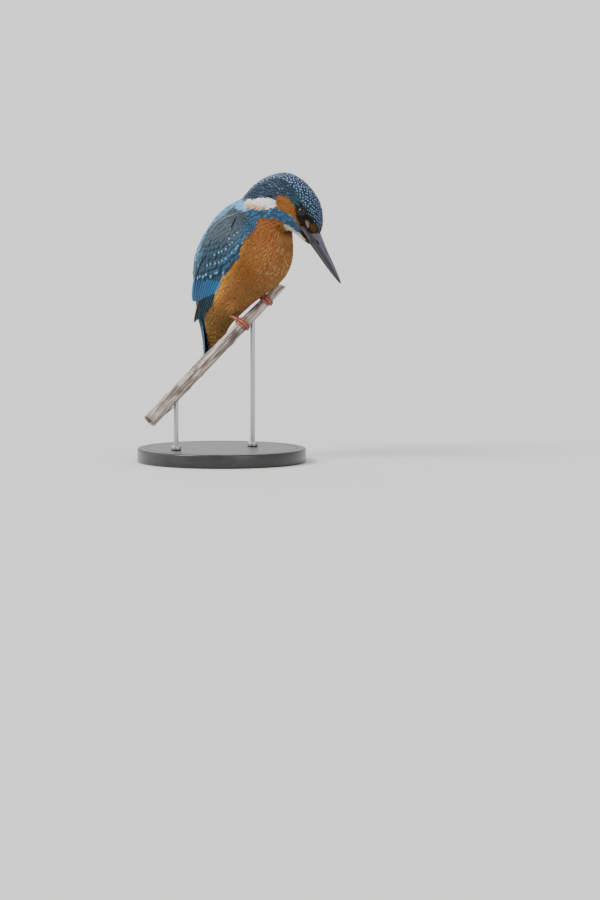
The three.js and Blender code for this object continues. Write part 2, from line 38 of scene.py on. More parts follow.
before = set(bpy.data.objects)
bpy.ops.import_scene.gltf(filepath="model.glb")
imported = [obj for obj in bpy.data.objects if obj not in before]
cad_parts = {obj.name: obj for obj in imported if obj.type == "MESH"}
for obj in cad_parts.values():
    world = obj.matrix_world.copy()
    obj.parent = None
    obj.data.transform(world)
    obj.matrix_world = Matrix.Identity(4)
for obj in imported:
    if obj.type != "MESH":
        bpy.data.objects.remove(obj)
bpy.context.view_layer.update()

# ---- Base ------------------------------------------------------------------------------------------
# A disc of turned wood, 9 mm thick, under black satin lacquer. Its edges are eased on the lathe, and a
# fine groove runs round the top near the rim.

BASE_SIDES = 160
BASE_EASE = 1.2 * MM
GROOVE_IN = 5 * MM
GROOVE_WIDE = 0.9 * MM
GROOVE_DEEP = 0.5 * MM
HAIR = 0.01 * MM  # lengths that differ by less than this count as equal


def node(tree, kind, inputs=None, **settings):
    """A shader node with its settings and inputs. An input is a plain value or the socket that feeds it."""
    made = tree.nodes.new("ShaderNode" + kind)
    inputs = dict(inputs or {})
    for key, value in settings.items():
        if hasattr(made, key):
            setattr(made, key, value)
        else:
            inputs[key.replace("_", " ")] = value
    for key, value in inputs.items():
        if isinstance(value, bpy.types.NodeSocket):
            tree.links.new(value, made.inputs[key])
        else:
            made.inputs[key].default_value = value
    return made


def maths(tree, operation, *values):
    return node(tree, "Math", dict(enumerate(values)), operation=operation).outputs[0]


def ranged(tree, value, low, high, first=0.0, last=1.0):
    """Goes from first to last as a value goes from low to high."""
    limits = {"From Min": low, "From Max": high, "To Min": first, "To Max": last}
    return node(tree, "MapRange", {"Value": value, **limits}).outputs["Result"]


def mix(tree, factor, first, second, kind="MIX"):
    """Two colours mixed, or multiplied. Each is plain or comes from a socket."""
    first, second = (c if isinstance(c, bpy.types.NodeSocket) else (*c, 1) for c in (first, second))
    inputs = {"Fac": factor, "Color1": first, "Color2": second}
    return node(tree, "MixRGB", inputs, blend_type=kind).outputs["Color"]


def here(tree):
    """The place on the piece of the point that is shaded."""
    return node(tree, "TexCoord").outputs["Object"]


def noise(tree, place, scale, detail, stretch=None, **more):
    """Fractal noise, finer along the axes where stretch is greater."""
    if stretch:
        place = node(tree, "Mapping", {"Vector": place}, Scale=stretch).outputs["Vector"]
    return node(tree, "TexNoise", {"Vector": place}, Scale=scale, Detail=detail, **more).outputs["Fac"]


def new_material(name, colour, roughness, **more):
    """A plain Principled material. Its sockets are then linked to patterns where it has them."""
    material = bpy.data.materials.new(name)
    material.use_nodes = True
    tree = material.node_tree
    shader = tree.nodes["Principled BSDF"]
    shader.inputs["Base Color"].default_value = (*colour, 1)
    shader.inputs["Roughness"].default_value = roughness
    for key, value in more.items():
        shader.inputs[key.replace("_", " ")].default_value = value
    return material, tree, shader


def two_tones(tree, factor, dark, light, low=0.35, high=0.65):
    """A colour that goes from dark to light as a factor rises from low to high."""
    ramp = node(tree, "ValToRGB", {"Fac": factor})
    ramp.color_ramp.elements[0].position = low
    ramp.color_ramp.elements[0].color = (*dark, 1)
    ramp.color_ramp.elements[1].position = high
    ramp.color_ramp.elements[1].color = (*light, 1)
    return ramp.outputs["Color"]


def bump(tree, shader, height, strength, distance):
    made = node(tree, "Bump", {"Height": height}, Strength=strength, Distance=distance)
    tree.links.new(made.outputs["Normal"], shader.inputs["Normal"])


def paint(tree, shader, colour, height, strength, distance):
    """The material's colour, and the height and depth of its fine relief."""
    tree.links.new(colour, shader.inputs["Base Color"])
    bump(tree, shader, height, strength, distance)


def nothing_selected():
    if bpy.context.mode != "OBJECT":
        bpy.ops.object.mode_set(mode="OBJECT")
    bpy.ops.object.select_all(action="DESELECT")


def finish_piece(piece, material, nodes, smooth_angle=30):
    """The piece gets its material and smooth shading, rides on the model and stands for its solids."""
    nothing_selected()
    piece.select_set(True)
    bpy.context.view_layer.objects.active = piece
    bpy.ops.object.transform_apply(location=True, rotation=True, scale=True)
    bpy.ops.object.shade_smooth_by_angle(angle=math.radians(smooth_angle))
    piece.data.materials.clear()
    piece.data.materials.append(material)
    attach(piece, "root")
    if nodes:
        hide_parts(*nodes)


base_low, base_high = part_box("stand_base")
base_middle = (base_low + base_high) / 2
base_radius = (base_high.x - base_low.x) / 2
base_thick = base_high.z - base_low.z
groove_reach = base_radius - GROOVE_IN - GROOVE_WIDE / 2

nothing_selected()
bpy.ops.mesh.primitive_cylinder_add(
    vertices=BASE_SIDES, radius=base_radius, depth=base_thick, location=base_middle
)
base = bpy.context.object
base.name = "stand_base_disc"
bpy.ops.object.mode_set(mode="EDIT")
form = bmesh.from_edit_mesh(base.data)
for face in form.faces:
    face.select = face.normal.z > 0.9
bmesh.update_edit_mesh(base.data)
bpy.ops.mesh.inset(thickness=GROOVE_IN)
bpy.ops.mesh.inset(thickness=GROOVE_WIDE / 2)
form = bmesh.from_edit_mesh(base.data)
for vert in form.verts:
    in_groove = abs(vert.co.xy.length - groove_reach) < GROOVE_WIDE / 4
    if vert.co.z > 0 and in_groove:
        vert.co.z -= GROOVE_DEEP
bmesh.update_edit_mesh(base.data)
bpy.ops.mesh.inset(thickness=GROOVE_WIDE / 2)
form = bmesh.from_edit_mesh(base.data)
for face in form.faces:
    if face.select:
        for vert in face.verts:
            vert.co.z = base_thick / 2
for edge in form.edges:
    rim = all(abs(vert.co.xy.length - base_radius) < HAIR for vert in edge.verts)
    level = abs(edge.verts[0].co.z - edge.verts[1].co.z) < HAIR
    edge.select = rim and level
bmesh.update_edit_mesh(base.data)
bpy.ops.mesh.bevel(offset=BASE_EASE, segments=5)
bpy.ops.object.mode_set(mode="OBJECT")

lacquer, tree, shader = new_material(
    "black_lacquer", (0.012, 0.011, 0.010), 0.3, Coat_Weight=0.35, Coat_Roughness=0.18
)
veins = noise(tree, here(tree), 1.0, 6, (40, 420, 420))
wood = two_tones(tree, veins, (0.009, 0.008, 0.0075), (0.022, 0.018, 0.015))
paint(tree, shader, wood, veins, 0.08, 0.2 * MM)
finish_piece(base, lacquer, ["stand_base"])

# ---- Reed ------------------------------------------------------------------------------------------
# A dry stem of common reed, grey and cream with dark streaks where the sheath has weathered. Both ends
# are hollow, the upper one is broken off, and slivers of the leaf sheath peel along it.

REED_LOW = np.array([-38.2, -62, 28.5]) * MM
REED_HIGH = np.array([18, 18.2, 111.9]) * MM
REED_RADII = np.array([4.35, 4.25, 4.15, 4.1, 4.05, 3.85, 3.6, 3.4, 3.05, 2.6]) * MM
REED_ARCH = 0.3 * MM
REED_JOINT = 0.36
JOINT_SWELL = 0.35 * MM
REED_WALL = 1.3 * MM
LOW_BORE = [(0.03, 1.6), (0.027, 1.0), (0.004, 0.9), (0.0, 0.7)]  # shares of the stem and of its wall
TOP_BORE = [(0.0, 0.55), (0.01, 0.9), (0.05, 1.0), (0.055, 1.6)]
BORE_LEAST = 0.3 * MM
SLIVERS = 26


def unit(vectors):
    return vectors / np.linalg.norm(vectors, axis=-1, keepdims=True)


def square_to(axis, vectors):
    """Directions turned until they are square to an axis."""
    return unit(vectors - axis * (vectors * axis).sum(-1, keepdims=True))


def between(places, stops, values):
    """Vectors at places, drawn evenly between the vectors at some stops."""
    return np.stack([np.interp(places, stops, column) for column in np.array(values, float).T], -1)


def full_circle(count):
    return np.linspace(0, 2 * math.pi, count, endpoint=False)


def bell(value, middle, width):
    return np.exp(-(((value - middle) / width) ** 2))


reed_way = unit(REED_HIGH - REED_LOW)
reed_over = unit(np.array([0, 0, 1]) - reed_way * reed_way[2])
reed_fore = np.cross(reed_way, reed_over)
reed_fore = reed_fore * np.sign(reed_fore[0])


def reed_point(s):
    s = np.asarray(s, float)[..., None]
    return REED_LOW + (REED_HIGH - REED_LOW) * s + np.array([0, 0, REED_ARCH]) * 4 * s * (1 - s)


def reed_radius(s):
    shares = np.linspace(0, 1, len(REED_RADII))
    return np.interp(s, shares, REED_RADII) + JOINT_SWELL * bell(s, REED_JOINT, 0.014)


def reed_ridges(s, turn):
    """The fine ribs and weathered flats of the stem, as a share of its radius."""
    broad = 0.03 * np.sin(3 * turn + 5 * s) + 0.02 * np.sin(5 * turn - 9 * s)
    ribs = 0.012 * np.sin(17 * turn + 3 * np.sin(7 * s)) + 0.008 * np.sin(29 * turn - 11 * s)
    rings = -0.05 * bell(s, REED_JOINT + 0.012, 0.003) - 0.03 * bell(s, REED_JOINT - 0.01, 0.003)
    return 1 + broad + ribs + rings


def around_reed(s, turn, radius):
    across = np.cos(turn)[..., None] * reed_over + np.sin(turn)[..., None] * reed_fore
    return reed_point(s) + across * radius[..., None]


def placed(name, data):
    """A new object in the scene."""
    made = bpy.data.objects.new(name, data)
    bpy.context.scene.collection.objects.link(made)
    return made


def mesh_piece(name, verts, faces):
    mesh = bpy.data.meshes.new(name)
    mesh.from_pydata(verts.reshape(-1, 3).tolist(), [], faces)
    mesh.validate()
    return placed(name, mesh)


def tube_faces(rows, around, first=0):
    """Faces between successive rings of points, each ring closed on itself."""
    faces = []
    for row in range(rows - 1):
        for k in range(around):
            low = first + row * around
            turn_on = (k + 1) % around
            faces.append((low + k, low + turn_on, low + around + turn_on, low + around + k))
    return faces


def closed_tube(rings):
    """Points and faces of a tube through rings of points, shut at each end by one face."""
    rows, around = rings.shape[:2]
    faces = tube_faces(rows, around)
    faces.append(tuple(reversed(range(around))))
    faces.append(tuple(range((rows - 1) * around, rows * around)))
    return rings.reshape(-1, 3), faces


def outward(piece):
    """Merges doubled points and turns every face outwards."""
    form = bmesh.new()
    form.from_mesh(piece.data)
    bmesh.ops.remove_doubles(form, verts=form.verts, dist=1e-7)
    bmesh.ops.recalc_face_normals(form, faces=form.faces)
    form.to_mesh(piece.data)
    form.free()


def hollow_reed():
    around, rows = 72, 240
    turn = full_circle(around)
    dice = np.random.default_rng(3)
    jag = 0.006 * np.interp(turn, np.linspace(0, 2 * math.pi, 25), np.r_[dice.random(24), 0.5])
    jag += 0.016 * bell(turn, 3.4, 0.5) - 0.03 * bell(turn, 0.3, 0.35) - 0.03 * bell(turn, 6.58, 0.35)
    saw = 0.0006 * np.sin(turn * 9)
    shares = np.linspace(0, 1, rows)[:, None]
    s = saw + (1 + jag - 0.012 - saw) * shares
    outer = around_reed(s, np.broadcast_to(turn, s.shape), reed_radius(s) * reed_ridges(s, turn))

    def bore(end, wall):
        wide = np.maximum(reed_radius(end) - REED_WALL * wall, BORE_LEAST)
        return around_reed(end, turn[None], wide)

    low_bore = [bore(s[:1] + depth, wall) for depth, wall in LOW_BORE]
    top_bore = [bore(s[-1:] - depth, wall) for depth, wall in TOP_BORE]
    return closed_tube(np.concatenate([*low_bore, outer, *top_bore]))


def sliver(dice):
    """A strip of dry sheath along the stem, tapered at both ends, with its upper end curling off a little."""
    long = dice.uniform(0.05, 0.22)
    start = dice.uniform(0.02, 0.66)
    turn = dice.uniform(0, 2 * math.pi)
    half = dice.uniform(0.06, 0.2)
    peel = dice.uniform(0.1, 0.7) * MM
    share = np.linspace(0, 1, 14)
    s = start + long * share
    wide = half * np.sin(math.pi * np.clip(share, 0.03, 0.97)) ** 0.6
    twist = turn + 0.25 * dice.uniform(-1, 1) * share
    rise = peel * share**3
    rings = []
    for side, thick in ((-1, 0.02), (0, 0.2), (1, 0.02), (0, -0.25)):
        angle = twist + side * wide
        rings.append(around_reed(s, angle, reed_radius(s) * reed_ridges(s, angle) + rise + thick * MM))
    return closed_tube(np.stack(rings, 1))


def stacked(parts):
    """One set of points and faces from several."""
    verts, faces, first = [], [], 0
    for points, sides in parts:
        verts.append(points)
        faces += [tuple(first + k for k in side) for side in sides]
        first += len(points)
    return np.concatenate(verts), faces


def standing_splinter():
    """The long splinter near the low end, which stands off the underside."""
    under = unit(-0.92 * reed_over + 0.38 * reed_fore)
    share = np.linspace(0, 1, 16)[:, None]
    s = 0.015 + 0.135 * share[:, 0]
    centre = reed_point(s) + under * ((reed_radius(s) - 0.5 * MM)[:, None] + 1.6 * MM * share**2)
    across = np.cross(reed_way, under)
    wide = 1.3 * MM * np.sqrt(np.clip(1 - (share - 0.25) ** 2 / 0.58, 0.02, 1))
    thick = 0.35 * MM
    rings = [centre - across * wide, centre + under * thick, centre + across * wide, centre - under * thick]
    return closed_tube(np.stack(rings, 1))


dice = np.random.default_rng(11)
reed_parts = [hollow_reed(), standing_splinter()] + [sliver(dice) for _ in range(SLIVERS)]
reed = mesh_piece("reed_stem", *stacked(reed_parts))
outward(reed)


def store(piece, name, values, kind="FLOAT_VECTOR"):
    """Keeps a vector or a colour for each of the mesh's points."""
    field = "color" if kind == "FLOAT_COLOR" else "vector"
    attribute = piece.data.attributes.new(name, kind, "POINT")
    attribute.data.foreach_set(field, np.ascontiguousarray(values, np.float32).ravel())


def kept(tree, name, socket="Vector"):
    """What is kept for the mesh's points, as its material reads it."""
    return node(tree, "Attribute", attribute_name=name).outputs[socket]


def points_of(piece):
    flat = np.zeros(len(piece.data.vertices) * 3)
    piece.data.vertices.foreach_get("co", flat)
    return flat.reshape(-1, 3)


reed_places = points_of(reed) - REED_LOW
reed_lie = np.stack([reed_places @ reed_fore, reed_places @ reed_over, reed_places @ reed_way], 1)
store(reed, "lie", reed_lie / MM)

dry_reed, tree, shader = new_material("dry_reed", (0.5, 0.44, 0.36), 0.72, Specular_IOR_Level=0.25)
lie = kept(tree, "lie")
streaks = noise(tree, lie, 0.95, 5, (1, 1, 0.045), Roughness=0.62)
fibres = noise(tree, lie, 1.6, 4, (3.2, 3.2, 0.08))
weather = noise(tree, lie, 1.3, 3, (0.35, 0.35, 0.09))
pale = two_tones(tree, weather, (0.30, 0.235, 0.18), (0.62, 0.545, 0.50), 0.36, 0.56)
worn = mix(tree, ranged(tree, streaks, 0.505, 0.58, 0.0, 0.86), pale, (0.085, 0.065, 0.07))
fibre_tone = two_tones(tree, fibres, (0.72, 0.7, 0.68), (1.12, 1.1, 1.08), 0.3, 0.7)
paint(tree, shader, mix(tree, 1.0, worn, fibre_tone, "MULTIPLY"), fibres, 0.55, 0.25 * MM)
finish_piece(reed, dry_reed, ["reed_perch"], 50)

# ---- Rods ------------------------------------------------------------------------------------------
# Two short rods of brushed steel, 3 mm thick. Each stands in a turned collar on the base, and its top is
# let into a hole drilled in the underside of the reed.

ROD_RADIUS = 1.5 * MM
COLLAR_HIGH = 3 * MM
COLLAR_RADIUS = 3.4 * MM
ROD_INTO_REED = 1.5 * MM
COLLAR_EASE = 0.7 * MM


def modified(piece, kind, **settings):
    """Adds a modifier to the piece and applies it."""
    nothing_selected()
    piece.select_set(True)
    bpy.context.view_layer.objects.active = piece
    change = piece.modifiers.new(kind.lower(), kind)
    for key, value in settings.items():
        setattr(change, key, value)
    bpy.ops.object.modifier_apply(modifier=change.name)


def cylinder(place, radius, low, high, sides):
    """An upright cylinder at a place, from one height to another."""
    nothing_selected()
    middle = (place.x, place.y, (low + high) / 2)
    bpy.ops.mesh.primitive_cylinder_add(vertices=sides, radius=radius, depth=high - low, location=middle)
    bpy.ops.object.transform_apply(location=True)
    return bpy.context.object


steel, tree, shader = new_material("brushed_steel", (0.46, 0.46, 0.48), 0.32, Metallic=1.0)
lines = noise(tree, here(tree), 1.0, 3, (300, 300, 9000))
tree.links.new(ranged(tree, lines, 0, 1, 0.24, 0.42), shader.inputs["Roughness"])
bump(tree, shader, lines, 0.12, 0.05 * MM)

for rod_name in ("stand_rod_upper", "stand_rod_lower"):
    rod_low, rod_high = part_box(rod_name)
    middle = (rod_low + rod_high) / 2
    foot = base_high.z
    rod = cylinder(middle, ROD_RADIUS, foot, rod_high.z + ROD_INTO_REED, 48)
    rod.name = rod_name + "_turned"
    collar = cylinder(middle, COLLAR_RADIUS, foot, foot + COLLAR_HIGH, 64)
    modified(collar, "BEVEL", width=COLLAR_EASE, segments=4, limit_method="ANGLE")
    rod.select_set(True)
    bpy.context.view_layer.objects.active = rod
    bpy.ops.object.join()
    finish_piece(rod, steel, [rod_name])

# ---- Feet ------------------------------------------------------------------------------------------
# Small coral-red feet. Three toes go over the reed to the front, the outer two joined for most of their
# length, and one goes back. Broad scales cross their tops, and each ends in a curved black claw.

TOES = {  # place along the reed and thickness in mm, then turns round it in degrees: start, end, claw's tip
    "hind": (-0.5, 0.95, -14, -104, -152),
    "inner": (-2, 0.85, 12, 98, 140),
    "middle": (0, 1, 8, 134, 178),
    "outer": (1.75, 0.95, 10, 120, 164),
}
FEET = {  # place on the reed as a share of its length, and the ankle in mm
    "right": (0.698, (-7.5, -8, 93.6)),
    "left": (0.876, (4.4, 7.8, 106.5)),
}
SHANK_RADII = [1.3, 1.15, 1.05, 1.2, 1.65]
SHANK_STOPS = [-0.25, 0, 0.5, 1, 1.12]  # it runs on into the thigh above and into the foot below
GRIP_GAP = 0.08
CLAW_ROOT = 0.66
CLAW_TIP = 0.09


def along_toe(grip, toe, turn, out):
    """Points at turns round the reed, at a height out over it, both arrays."""
    beside, _, start, _, _ = TOES[toe]
    turn = np.radians(turn)
    radius = reed_radius(grip) + (GRIP_GAP + out) * MM
    slide = beside * MM * np.cos((turn - math.radians(start)) * 0.3)
    across = np.cos(turn)[:, None] * reed_over + np.sin(turn)[:, None] * reed_fore
    out_to = across * np.broadcast_to(radius, turn.shape)[:, None]
    return reed_point(grip) + reed_way * slide[:, None] + out_to


def limb(line, outer, radii, around=18, scales=0, pads=0):
    """A round limb on a line. outer is the way that its scaled side looks, at each point of the line."""
    way = unit(np.gradient(line, axis=0))
    up = square_to(way, outer)
    side = np.cross(way, up)
    share = np.linspace(0, 1, len(line))
    turn = full_circle(around)
    scaled = np.clip(np.cos(turn), 0, 1) ** 0.5
    under = np.clip(-np.cos(turn), 0, 1)
    step = (share * scales) % 1.0
    cushion = np.cos(2 * math.pi * pads * share) * (pads > 0)
    swell = 1 + 0.07 * np.outer(step**1.5, scaled) + 0.12 * np.outer(cushion, under)
    radius = np.asarray(radii)[:, None] * swell
    over = up[:, None] * (radius * np.cos(turn))[..., None]
    beside = side[:, None] * (radius * np.sin(turn))[..., None]
    return closed_tube(line[:, None] + over + beside)


def rounded_end(share, start, long, least):
    """A limb's narrowing towards its end, which is round."""
    return np.sqrt(np.clip(1 - (np.clip(share - start, 0, 1) / long) ** 2, least, 1))


def foot_parts(side):
    grip, ankle = FEET[side]
    ankle = np.array(ankle) * MM
    toes, claws = [], []
    for toe, (_, thick, start, end, claw_end) in TOES.items():
        share = np.linspace(0, 1, 57)
        line = along_toe(grip, toe, start + (end - start) * share, thick)
        arm = line - reed_point(grip)
        outer = unit(arm - reed_way * (arm @ reed_way)[:, None])
        radii = thick * (1 - 0.16 * share) * (1 + 0.07 * np.cos(6 * math.pi * share))
        radii *= rounded_end(share, 0.93, 0.08, 0.08)
        toes.append(limb(line, outer, radii * MM, scales=14, pads=3))
        share = np.linspace(0, 1, 18)
        claw_start = end - math.copysign(5, end)
        turn = claw_start + (claw_end - claw_start) * share
        line = along_toe(grip, toe, turn, thick + 0.1 - 0.35 * share**2)
        radii = CLAW_ROOT + (CLAW_TIP - CLAW_ROOT) * share**0.8
        claws.append(limb(line, unit(line - reed_point(grip)), radii * MM, around=12))
    pad = reed_point(grip) + reed_over * (reed_radius(grip) + (GRIP_GAP + SHANK_RADII[-1]) * MM)
    bend = (ankle + pad) / 2 + np.array([-0.6, 0, 0.3]) * MM
    stops = [ankle + (ankle - pad) * 0.25, ankle, bend, pad, pad + (pad - ankle) * 0.1]
    share = np.linspace(SHANK_STOPS[0], SHANK_STOPS[-1], 40)
    line = between(share, SHANK_STOPS, stops)
    for _ in range(6):
        line[1:-1] = (line[:-2] + 2 * line[1:-1] + line[2:]) / 4
    radii = np.interp(share, np.linspace(0, 1, len(SHANK_RADII)), SHANK_RADII)
    radii *= rounded_end(share, 0.98, 0.145, 0.05)
    toes.append(limb(line, np.tile((1.0, 0, 0.4), (40, 1)), radii * MM, around=22, scales=11))
    return toes, claws


coral_skin, tree, shader = new_material(
    "coral_skin", (0.5, 0.12, 0.07), 0.42, Subsurface_Weight=0.12, Subsurface_Scale=0.6 * MM,
    Subsurface_Radius=(1.0, 0.35, 0.2),
)
cells = node(tree, "TexVoronoi", {"Vector": here(tree)}, Scale=2600.0).outputs["Distance"]
mottle = noise(tree, here(tree), 420.0, 4)
coral = two_tones(tree, mottle, (0.27, 0.066, 0.038), (0.50, 0.185, 0.118), 0.34, 0.66)
seams = two_tones(tree, cells, (1.05, 1.05, 1.05), (0.68, 0.6, 0.6), 0.2, 0.7)
paint(tree, shader, mix(tree, 1.0, coral, seams, "MULTIPLY"), cells, -0.35, 0.08 * MM)

black_horn, tree, shader = new_material("black_horn", (0.02, 0.016, 0.015), 0.3, Coat_Weight=0.3)
horn_lines = noise(tree, here(tree), 1500.0, 3)
horn = two_tones(tree, horn_lines, (0.010, 0.008, 0.008), (0.045, 0.034, 0.030))
paint(tree, shader, horn, horn_lines, 0.15, 0.05 * MM)

for side in ("right", "left"):
    toes, claws = foot_parts(side)
    foot = mesh_piece(f"foot_{side}", *stacked(toes))
    outward(foot)
    finish_piece(foot, coral_skin, [f"leg_{side}"], 60)
    claw = mesh_piece(f"claws_{side}", *stacked(claws))
    outward(claw)
    finish_piece(claw, black_horn, [f"claw_{side}_{toe}" for toe in TOES], 60)

# ---- Bill ------------------------------------------------------------------------------------------
# A straight dagger of horn in two halves, slate above and nearly black below. On the upper half a lilac
# reflection of the sky is painted along the ridge side, and painted shade darkens the side that faces down.
# The ridge and keel are rounded, a slit nostril lies near the base, and a fleshy rim runs back to the gape.

BILL_TIP = np.array([67.6, 0, 115.4]) * MM
BILL_ROOT = np.array([51, 0, 140.8]) * MM
BILL_BEHIND = 12.5 * MM
BILL_RIDGE = [0.45, 1.5, 2.2, 2.75, 3.15, 3.6, 4, 4.3, 3.9]  # in mm from tip to gape, as are the next three
BILL_KEEL = [0.45, 1.5, 2.3, 2.9, 3.2, 3.45, 3.5, 3, 2]
BILL_HALF = [0.45, 1.1, 1.75, 2.35, 3, 3.7, 5, 7.6, 10.2]
BILL_CUT = [0, -0.15, -0.4, -0.65, -0.8, -0.75, -0.4, 0.15, 0.7]
BILL_SLIT = 0.12
NOSTRIL = 0.70
RIM_FROM = 0.72  # where the bare rim leaves the bill, as a share of the way from tip to gape
GAPE_CORNER = np.array([44.6, 9.6, 150.6]) * MM
LIP_TONE = (0.080, 0.074, 0.083)
TIP_TONE = (0.26, 0.245, 0.25)
# On the upper half the light tone of the lines is a painted lilac reflection of the sky, and the tone by the
# cutting edge is painted shade over the lower part of its side.
HORN_TONES = {  # dark and light of the horn's lines, then its cutting edge and the rim
    "slate_horn": [(0.054, 0.05, 0.076), (0.112, 0.104, 0.146), (0.014, 0.012, 0.019), (0.125, 0.085, 0.085)],
    "dark_horn": [(0.014, 0.013, 0.016), (0.036, 0.031, 0.034), (0.024, 0.022, 0.027), (0.085, 0.055, 0.055)],
}

bill_back = unit(BILL_ROOT - BILL_TIP)
bill_up = np.array([bill_back[2], 0, -bill_back[0]])
bill_long = np.linalg.norm(BILL_ROOT - BILL_TIP) + BILL_BEHIND


def ease(value, low, high):
    share = np.clip((value - low) / (high - low), 0, 1)
    return share * share * (3 - 2 * share)


def bill_list(values, share):
    return np.interp(share, np.linspace(0, 1, len(values)), values)


def bill_half(up, edge):
    """One half, from a sharp tip to the gape. up is 1 for the upper half and -1 for the lower."""
    share = np.linspace(0, 1, 90) ** 1.15
    turn = np.linspace(0, math.pi, 41)
    round_tip = np.sqrt(np.clip(share / 0.02, 0.01, 1))
    half = bill_list(BILL_HALF, share) * round_tip
    cut = bill_list(BILL_CUT, share) + up * BILL_SLIT / 2
    reach = (bill_list(edge, share) * up - cut) * round_tip
    round_form = (1 - 0.35 * ease(share, 0.45, 0.7) * (1 - ease(share, 0.78, 0.95)))[:, None]
    lift = np.sin(turn)[None] ** round_form
    out = np.sign(np.cos(turn)) * np.abs(np.cos(turn)) ** round_form
    groove = np.zeros((90, 41))
    if up > 0:
        for flank in (0.62, math.pi - 0.62):
            slit = bell(turn[None], flank, 0.09) * bell(share[:, None], NOSTRIL, 0.028)
            long_trough = ease(share[:, None], 0.2, 0.5) * (1 - ease(share[:, None], 0.8, 0.9))
            groove += 0.30 * slit + 0.07 * bell(turn[None], flank + 0.05, 0.16) * long_trough
    size = 1 - groove
    height = cut[:, None] + reach[:, None] * lift * size
    wide = half[:, None] * out * size
    line = BILL_TIP + bill_back * (share * bill_long)[:, None]
    aside = np.array([0, 1, 0]) * (wide * MM)[..., None]
    return closed_tube(line[:, None] + bill_up * (height * MM)[..., None] + aside)


def gape_rim(up, side):
    """The bare rim from the side of the bill back along the cheek to the corner of the mouth."""
    share = np.linspace(0, 1, 26)
    half, cut = (bill_list(values, RIM_FROM) * MM for values in (BILL_HALF, BILL_CUT))
    start = BILL_TIP + bill_back * RIM_FROM * bill_long + np.array([0, side * half, 0]) + bill_up * cut
    corner = GAPE_CORNER * (1, side, 1)
    middle = (start + corner) / 2 + np.array([0.3, side * 0.5, 0.1]) * MM
    line = np.outer((1 - share) ** 2, start) + np.outer(2 * share * (1 - share), middle)
    line += np.outer(share**2, corner) + bill_up * (up * 0.35 * MM * (1 - share) ** 0.7)[:, None]
    radii = np.interp(share, [0, 0.25, 0.8, 1], [0.12, 0.34, 0.4, 0.25]) * MM
    return limb(line, np.tile((0.3, side, 0.1), (26, 1)), radii, around=14)


def bill_horn(name, dark, light, edge_shade_tone, rim_tone):
    """Horn with fine lines along it, toned by its place from tip to gape and from cutting edge to ridge."""
    material, tree, shader = new_material(name, light, 0.34, Coat_Weight=0.15, Coat_Roughness=0.3)
    horn = kept(tree, "horn")
    reach, rise, rim = node(tree, "SeparateXYZ", {"Vector": horn}).outputs
    lines = noise(tree, horn, 1.0, 5, (3, 46, 1))
    tone = two_tones(tree, lines, dark, light, 0.34, 0.66)
    # Painted shade: the horn darkens to the edge tone over the lower part of its side, towards the cutting
    # edge.
    tone = mix(tree, ranged(tree, rise, 0.80, 0.50), tone, edge_shade_tone)
    tone = mix(tree, ranged(tree, rise, 0.12, 0.03), tone, LIP_TONE)
    tone = mix(tree, ranged(tree, rim, 0.3, 1.0), tone, rim_tone)
    tone = mix(tree, ranged(tree, reach, 0.0, 0.025), TIP_TONE, tone)
    paint(tree, shader, tone, lines, 0.25, 0.08 * MM)
    return material


for name, up, edge, horn in (
    ("bill_upper", 1, BILL_RIDGE, "slate_horn"),
    ("bill_lower", -1, BILL_KEEL, "dark_horn"),
):
    horn_points, horn_faces = bill_half(up, edge)
    rims = [gape_rim(up, side) for side in (1, -1)]
    bill = mesh_piece(f"{name}_horn", *stacked([(horn_points, horn_faces), *rims]))
    places = points_of(bill)
    reach = (places - BILL_TIP) @ bill_back / bill_long
    rise = np.abs((places - BILL_TIP) @ bill_up / MM - bill_list(BILL_CUT, reach))
    top = np.abs(bill_list(edge, reach) * up - bill_list(BILL_CUT, reach)) + 0.05
    is_rim = (np.arange(len(places)) >= len(horn_points)).astype(float) * ease(reach, 0.7, 0.86)
    store(bill, "horn", np.stack([reach, np.clip(rise / top, 0, 1), is_rim], 1))
    outward(bill)
    finish_piece(bill, bill_horn(horn, *HORN_TONES[horn]), [name], 50)

# ---- Eyes ------------------------------------------------------------------------------------------
# Blown glass eyes, nearly black brown, set deep in their sockets. A wrinkled ring of bare dark skin makes
# the lids, the upper one heavier, and its edge lies close on the glass.

EYE_PLACE = np.array([44.7, 9.2, 161.5]) * MM
EYE_RADIUS = 3.6 * MM
EYE_LOOK = np.array([0.25, 1.0, 0.05])
EYE_SIDES = 64
EYE_ROWS = 48
SIDES = (("right", -1), ("left", 1))
LID_PROFILE = [  # angle off the eye's axis in degrees and distance from its centre in mm, round the lid
    (46, 3.66), (46.6, 3.84), (49, 3.93), (53, 3.92), (60, 3.86), (70, 3.72), (82, 3.45), (82, 3.2),
    (62, 3.42), (50, 3.52),
]


def eye_frame(side):
    look = unit(EYE_LOOK * (1, side, 1))
    level = unit(np.cross((0, 0, 1), look))
    return EYE_PLACE * (1, side, 1), look, level, np.cross(look, level)


def eye_points(side, angle, turn, radius):
    """Points round the eye: angle off its axis and turn round it in radians, radius in metres."""
    place, look, level, over = eye_frame(side)
    flat = level * np.cos(turn)[..., None] + over * np.sin(turn)[..., None]
    return place + (look * np.cos(angle)[..., None] + flat * np.sin(angle)[..., None]) * radius[..., None]


glass_eye, tree, shader = new_material(
    "glass_eye", (0.01, 0.006, 0.004), 0.1, Coat_Weight=0.45, Coat_Roughness=0.02, Specular_IOR_Level=0.1
)
seen = kept(tree, "seen")
from_axis = node(tree, "SeparateXYZ", {"Vector": seen}).outputs["X"]
spokes = noise(tree, seen, 1.0, 3, (0.08, 9, 9))
iris = two_tones(tree, spokes, (0.006, 0.003, 0.002), (0.020, 0.009, 0.005))
eye_tone = mix(tree, ranged(tree, from_axis, 21.0, 23.0), (0.003, 0.003, 0.003), iris)
tree.links.new(eye_tone, shader.inputs["Base Color"])

